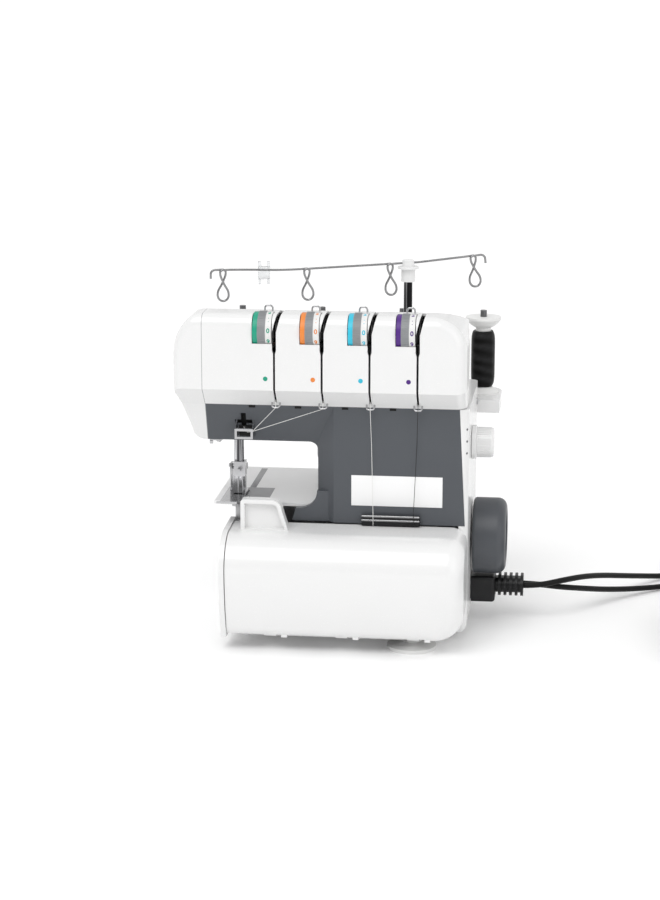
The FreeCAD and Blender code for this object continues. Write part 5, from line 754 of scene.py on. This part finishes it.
# Working threads: two white ones drawn from their slots to the arm bracket, and one white and one
# black drawn straight down the panel and under the guide bar. Their points are given in millimetres.
THREAD_R, NEEDLE_XS = 0.25 * MM, (-54.6, -13.6)
SLOT_TOP, SLOT_HOOK = (-74.5, 213), (-77.4, 206.4)
NEEDLE_ENDS = ((-75.2, -75.2, 184.6), (-80, -72, 183.2), (-84.5, -64, 186))
PANEL_TOUCH, LOOPER_ENDS = (0.3, -72.6, 175), ((-76.9, 113), (-76.9, 107), (-75.9, 103.5), (-73, 103.4))
line_white = finish("line_white", (0.85, 0.85, 0.83), (0.75, 0.75, 0.73),
                    roughness=0.6, grain=3000, relief=0.3)
line_black = finish("line_black", (0.012, 0.012, 0.012), (0.008, 0.008, 0.008),
                    roughness=0.6, grain=3000, relief=0.3)
LOOPER_LINES = ((3, 27.4, 30.2, line_white, "white_thread"), (4, 68.4, 65.2, line_black, "black_thread"))


def round_curve(name, points, radius, smoothness, kind):
    """Round curve of one open spline through points, or led by them."""
    curve = bpy.data.curves.new(name, "CURVE")
    curve.dimensions = "3D"
    curve.bevel_depth = radius
    curve.bevel_resolution = smoothness
    curve.use_fill_caps = True
    spline = curve.splines.new(kind)
    spline.points.add(len(points) - 1)
    for point, place in zip(spline.points, points):
        point.co = (*place, 1)
    return curve


def strand(name, points, material):
    """Thin round thread drawn tight through points."""
    curve = round_curve(name, in_metres(points), THREAD_R, smoothness=2, kind="POLY")
    data = made_real(bpy.data.objects.new(name, curve))
    data.materials.append(material)
    set_out(name, data, "machine")


for number, x in enumerate(NEEDLE_XS, 1):
    strand(f"needle_thread_{number}", [(x, *SLOT_TOP), (x, *SLOT_HOOK), *NEEDLE_ENDS],
           line_white)
for number, x, foot, material, slot in LOOPER_LINES:
    share, touch_y, touch_z = PANEL_TOUCH
    strand(f"looper_thread_{number}", [
        (x, *SLOT_TOP), (x, *SLOT_HOOK), (x + (foot - x) * share, touch_y, touch_z),
        *((foot, *end) for end in LOOPER_ENDS)], material)

# Screws: steel pan-head screws with a round recess, which hold the side, rear and head covers to the
# frame. Their places on the wall are given in millimetres.
SCREW_R, SCREW_RISE, SCREW_SINK, SCREW_WALL = 3.2 * MM, 1.3 * MM, 0.6 * MM, 0.5
RECESS_MOUTH, RECESS_FLOOR, RECESS_LEVEL = 0.42, 0.36, 0.3
SIDE_SPOTS = ((50, 30), (50, 190))
REAR_SPOTS = ((-70, 40), (90, 40), (0, 160), (90, 160), (-100, 215), (85, 215))


def screw_tree():
    """One screw head on every point of the mesh that carries the tree, turned to the given direction."""
    tree, given, sent = node_tree("screw_set", [
        ("Points", "NodeSocketGeometry"), ("Screw", "NodeSocketObject"), ("Turn", "NodeSocketVector"),
        ("Finish", "NodeSocketMaterial")])
    head = tree.nodes.new("GeometryNodeObjectInfo")
    spread = tree.nodes.new("GeometryNodeInstanceOnPoints")
    turn = tree.nodes.new("FunctionNodeEulerToRotation")
    tree.links.new(given.outputs["Screw"], head.inputs["Object"])
    tree.links.new(given.outputs["Points"], spread.inputs["Points"])
    tree.links.new(head.outputs["Geometry"], spread.inputs["Instance"])
    tree.links.new(given.outputs["Turn"], turn.inputs["Euler"])
    tree.links.new(turn.outputs["Rotation"], spread.inputs["Rotation"])
    return finish_tree(tree, given, sent, spread.outputs["Instances"])


screw_form = bmesh.new()
lathe(screw_form, [(0, -SCREW_SINK), (SCREW_R, -SCREW_SINK), (SCREW_R, SCREW_RISE * SCREW_WALL),
                   (SCREW_R * CHAMFERED, SCREW_RISE), (SCREW_R * RECESS_MOUTH, SCREW_RISE),
                   (SCREW_R * RECESS_FLOOR, SCREW_RISE * RECESS_LEVEL), (0, SCREW_RISE * RECESS_LEVEL)],
      Matrix.Identity(4), steps=18)
screw_steel = finish("screw_steel", (0.50, 0.50, 0.51), (0.42, 0.42, 0.43),
                     roughness=0.32, grain=600, relief=0.15, metallic=1.0)
screw_object = bpy.data.objects.new("screw_form", from_bmesh(screw_form, screw_steel))
bpy.context.scene.collection.objects.link(screw_object)
screw_set = screw_tree()
rear_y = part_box("rear_cover")[1].y
for name, turn, points in (
        ("side_screws", (0, math.pi / 2, 0), [(side_right, *mm(y, z)) for y, z in SIDE_SPOTS]),
        ("rear_screws", (-math.pi / 2, 0, 0), [(x * MM, rear_y, z * MM) for x, z in REAR_SPOTS])):
    seeds = bpy.data.meshes.new(name)
    seeds.from_pydata(points, [], [])
    screws = grown(screw_set, {"Screw": screw_object, "Turn": turn, "Finish": screw_steel}, seeds)
    set_out(name, screws, "machine")
bpy.data.objects.remove(screw_object)

# Foot control tread: rubber ribs across the sloping top of the treadle, moulded in one with it, so the
# shoe doesn't slip.
TREAD_RIBS, TREAD_RIB, TREAD_PITCH = 12, mm(66, 2.4, 1.6), 10 * MM
TREAD_IN, TREAD_Z, TREAD_LEAN = 16 * MM, 23.6 * MM, math.atan2(25, 145)


def rib_row_tree():
    """Row of equal ribs from one point to another."""
    tree, given, sent = node_tree("rib_row", [
        ("Count", "NodeSocketInt"), ("Start", "NodeSocketVector"), ("Step", "NodeSocketVector"),
        ("Rib size", "NodeSocketVector"), ("Turn", "NodeSocketVector"), ("Finish", "NodeSocketMaterial")])
    row = tree.nodes.new("GeometryNodeMeshLine")
    rib = tree.nodes.new("GeometryNodeMeshCube")
    spread = tree.nodes.new("GeometryNodeInstanceOnPoints")
    turn = tree.nodes.new("FunctionNodeEulerToRotation")
    for label, socket in (("Count", row.inputs["Count"]), ("Start", row.inputs["Start Location"]),
                          ("Step", row.inputs["Offset"]), ("Rib size", rib.inputs["Size"]),
                          ("Turn", turn.inputs["Euler"])):
        tree.links.new(given.outputs[label], socket)
    tree.links.new(row.outputs["Mesh"], spread.inputs["Points"])
    tree.links.new(rib.outputs["Mesh"], spread.inputs["Instance"])
    tree.links.new(turn.outputs["Rotation"], spread.inputs["Rotation"])
    return finish_tree(tree, given, sent, spread.outputs["Instances"])


tread_low, tread_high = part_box("pedal_treadle")
tread_start = Vector(((tread_low.x + tread_high.x) / 2, tread_low.y + TREAD_IN, TREAD_Z))
tread_step = Vector((0, math.cos(TREAD_LEAN), math.sin(TREAD_LEAN))) * TREAD_PITCH
tread = grown(rib_row_tree(), {"Count": TREAD_RIBS, "Start": tread_start, "Step": tread_step,
                               "Rib size": TREAD_RIB, "Turn": (TREAD_LEAN, 0, 0), "Finish": belt_rubber})
set_out("tread_ribs", tread, "treadle")

# Leads: two round black cords that leave the boot side by side, one to the mains plug and one to the
# foot control. The length not in use lies in flat coils, each held by a tie.
LEAD_D = 5.2 * MM
COIL_PITCH, COIL_LAYER, COIL_DIP, CLIMB_TURNS = 5.9 * MM, 5.9 * MM, 1.6 * MM, 0.5
TIE_THICK, TIE_WIDE, TIE_CORNER, TIE_STEPS = 0.4 * MM, 6 * MM, 2.4 * MM, 4
TIE_QUARTERS = ((1, 1), (-1, 1), (-1, -1), (1, -1))
FLOOR_GAP, POINTS_PER_TURN = 0.05 * MM, 16
COIL_BASE = LEAD_D / 2 + FLOOR_GAP + TIE_THICK
lead_rubber = finish("lead_rubber", (0.010, 0.010, 0.010), (0.007, 0.007, 0.007),
                     roughness=0.42, grain=1500, relief=0.1, specular=0.14)


def coil_points(centre, inner, turns, first):
    """Clockwise turns on the floor, from the outside in, up at the middle and out again on top."""
    wound = (turns - CLIMB_TURNS) / 2
    count = round(turns * POINTS_PER_TURN)
    points = []
    for k in range(count + 1):
        turn = turns * k / count
        climb = min(max((turn - wound) / CLIMB_TURNS, 0), 1)
        out = max(wound - turn, turn - wound - CLIMB_TURNS, 0)
        radius = inner + COIL_PITCH * out - COIL_DIP * math.sin(math.pi * climb) ** 2
        rise = COIL_LAYER * (climb - math.sin(2 * math.pi * climb) / (2 * math.pi))
        angle = math.radians(first) - 2 * math.pi * turn
        points.append((centre[0] + radius * math.cos(angle), centre[1] + radius * math.sin(angle),
                       COIL_BASE + rise))
    return points


def lay_cord(name, points):
    """One smooth round cord through given control points."""
    curve = round_curve(name, points, LEAD_D / 2, smoothness=5, kind="NURBS")
    curve.resolution_u = 6
    curve.splines[0].order_u = 3
    curve.splines[0].use_endpoint_u = True
    curve.materials.append(lead_rubber)
    return set_out(name, curve, "machine")


def coil_tie(name, centre, inner, turns, angle):
    """Flat strap closed round all the turns of a coil at one angle."""
    low, high = inner - LEAD_D / 2, inner + COIL_PITCH * (turns - CLIMB_TURNS) / 2 + LEAD_D / 2
    bottom, top = TIE_THICK, COIL_BASE + COIL_LAYER + LEAD_D / 2
    middle_r, middle_z = (low + high) / 2, (bottom + top) / 2
    half_r, half_z = (high - low) / 2 - TIE_CORNER, (top - bottom) / 2 - TIE_CORNER
    mesh = bmesh.new()
    rings = []
    for reach in (TIE_CORNER, TIE_CORNER + TIE_THICK):
        for side in (-0.5, 0.5):
            ring = []
            for quarter, (sign_r, sign_z) in enumerate(TIE_QUARTERS):
                for step in range(TIE_STEPS + 1):
                    bend = math.pi / 2 * (quarter + step / TIE_STEPS)
                    r = middle_r + sign_r * half_r + reach * math.cos(bend)
                    z = middle_z + sign_z * half_z + reach * math.sin(bend)
                    ring.append(mesh.verts.new((r, side * TIE_WIDE, z)))
            rings.append(ring)
    inner_near, inner_far, outer_near, outer_far = rings
    count = len(inner_near)
    for i in range(count):
        j = (i + 1) % count
        for a, b in ((outer_near, outer_far), (inner_far, inner_near), (inner_near, outer_near),
                     (outer_far, inner_far)):
            mesh.faces.new((a[i], a[j], b[j], b[i]))
    place = Matrix.Translation((*centre, 0)) @ Matrix.Rotation(math.radians(angle), 4, "Z")
    bmesh.ops.transform(mesh, matrix=place, verts=mesh.verts)
    return set_out(name, from_bmesh(mesh, black_plastic, smooth=0), "machine")


MAINS_COIL = ((0.340, 0.1824), 22.6 * MM, 7.5)
MAINS_RUN = ((159, -3.2, 33), (174, -3.2, 33.5), (192, 5, 36), (212, 30, 33.5), (230, 62, 26),
             (251, 97, 16), (273, 128, 7.5), (289, 143, 3.6), (296.75, 159, 3.05))
MAINS_END = ((383.25, 172, 8.95), (383.25, 155.4, 8.75))
mains_cord = lay_cord("mains_cord", in_metres(MAINS_RUN) + coil_points(*MAINS_COIL, first=180)
                      + in_metres(MAINS_END))
mains_tie = coil_tie("mains_tie", *MAINS_COIL, angle=250)
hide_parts("mains_lead", "mains_coil")

PEDAL_COIL = ((0.3376, 0.080), 24 * MM, 6.25)
PEDAL_RUN = ((159, 3.2, 33), (174, 3.2, 32.5), (192, 9, 29), (211, 29, 22.5), (230, 53, 15),
             (253, 80, 8), (280, 104, 3.6), (307, 120.96, 3.05))
PEDAL_END = ((378.56, 60, 8.95), (378.56, 35, 8.75))
pedal_cord = lay_cord("pedal_cord", in_metres(PEDAL_RUN) + coil_points(*PEDAL_COIL, first=90)
                      + in_metres(PEDAL_END))
pedal_tie = coil_tie("pedal_tie", *PEDAL_COIL, angle=200)
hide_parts("pedal_lead", "pedal_coil")
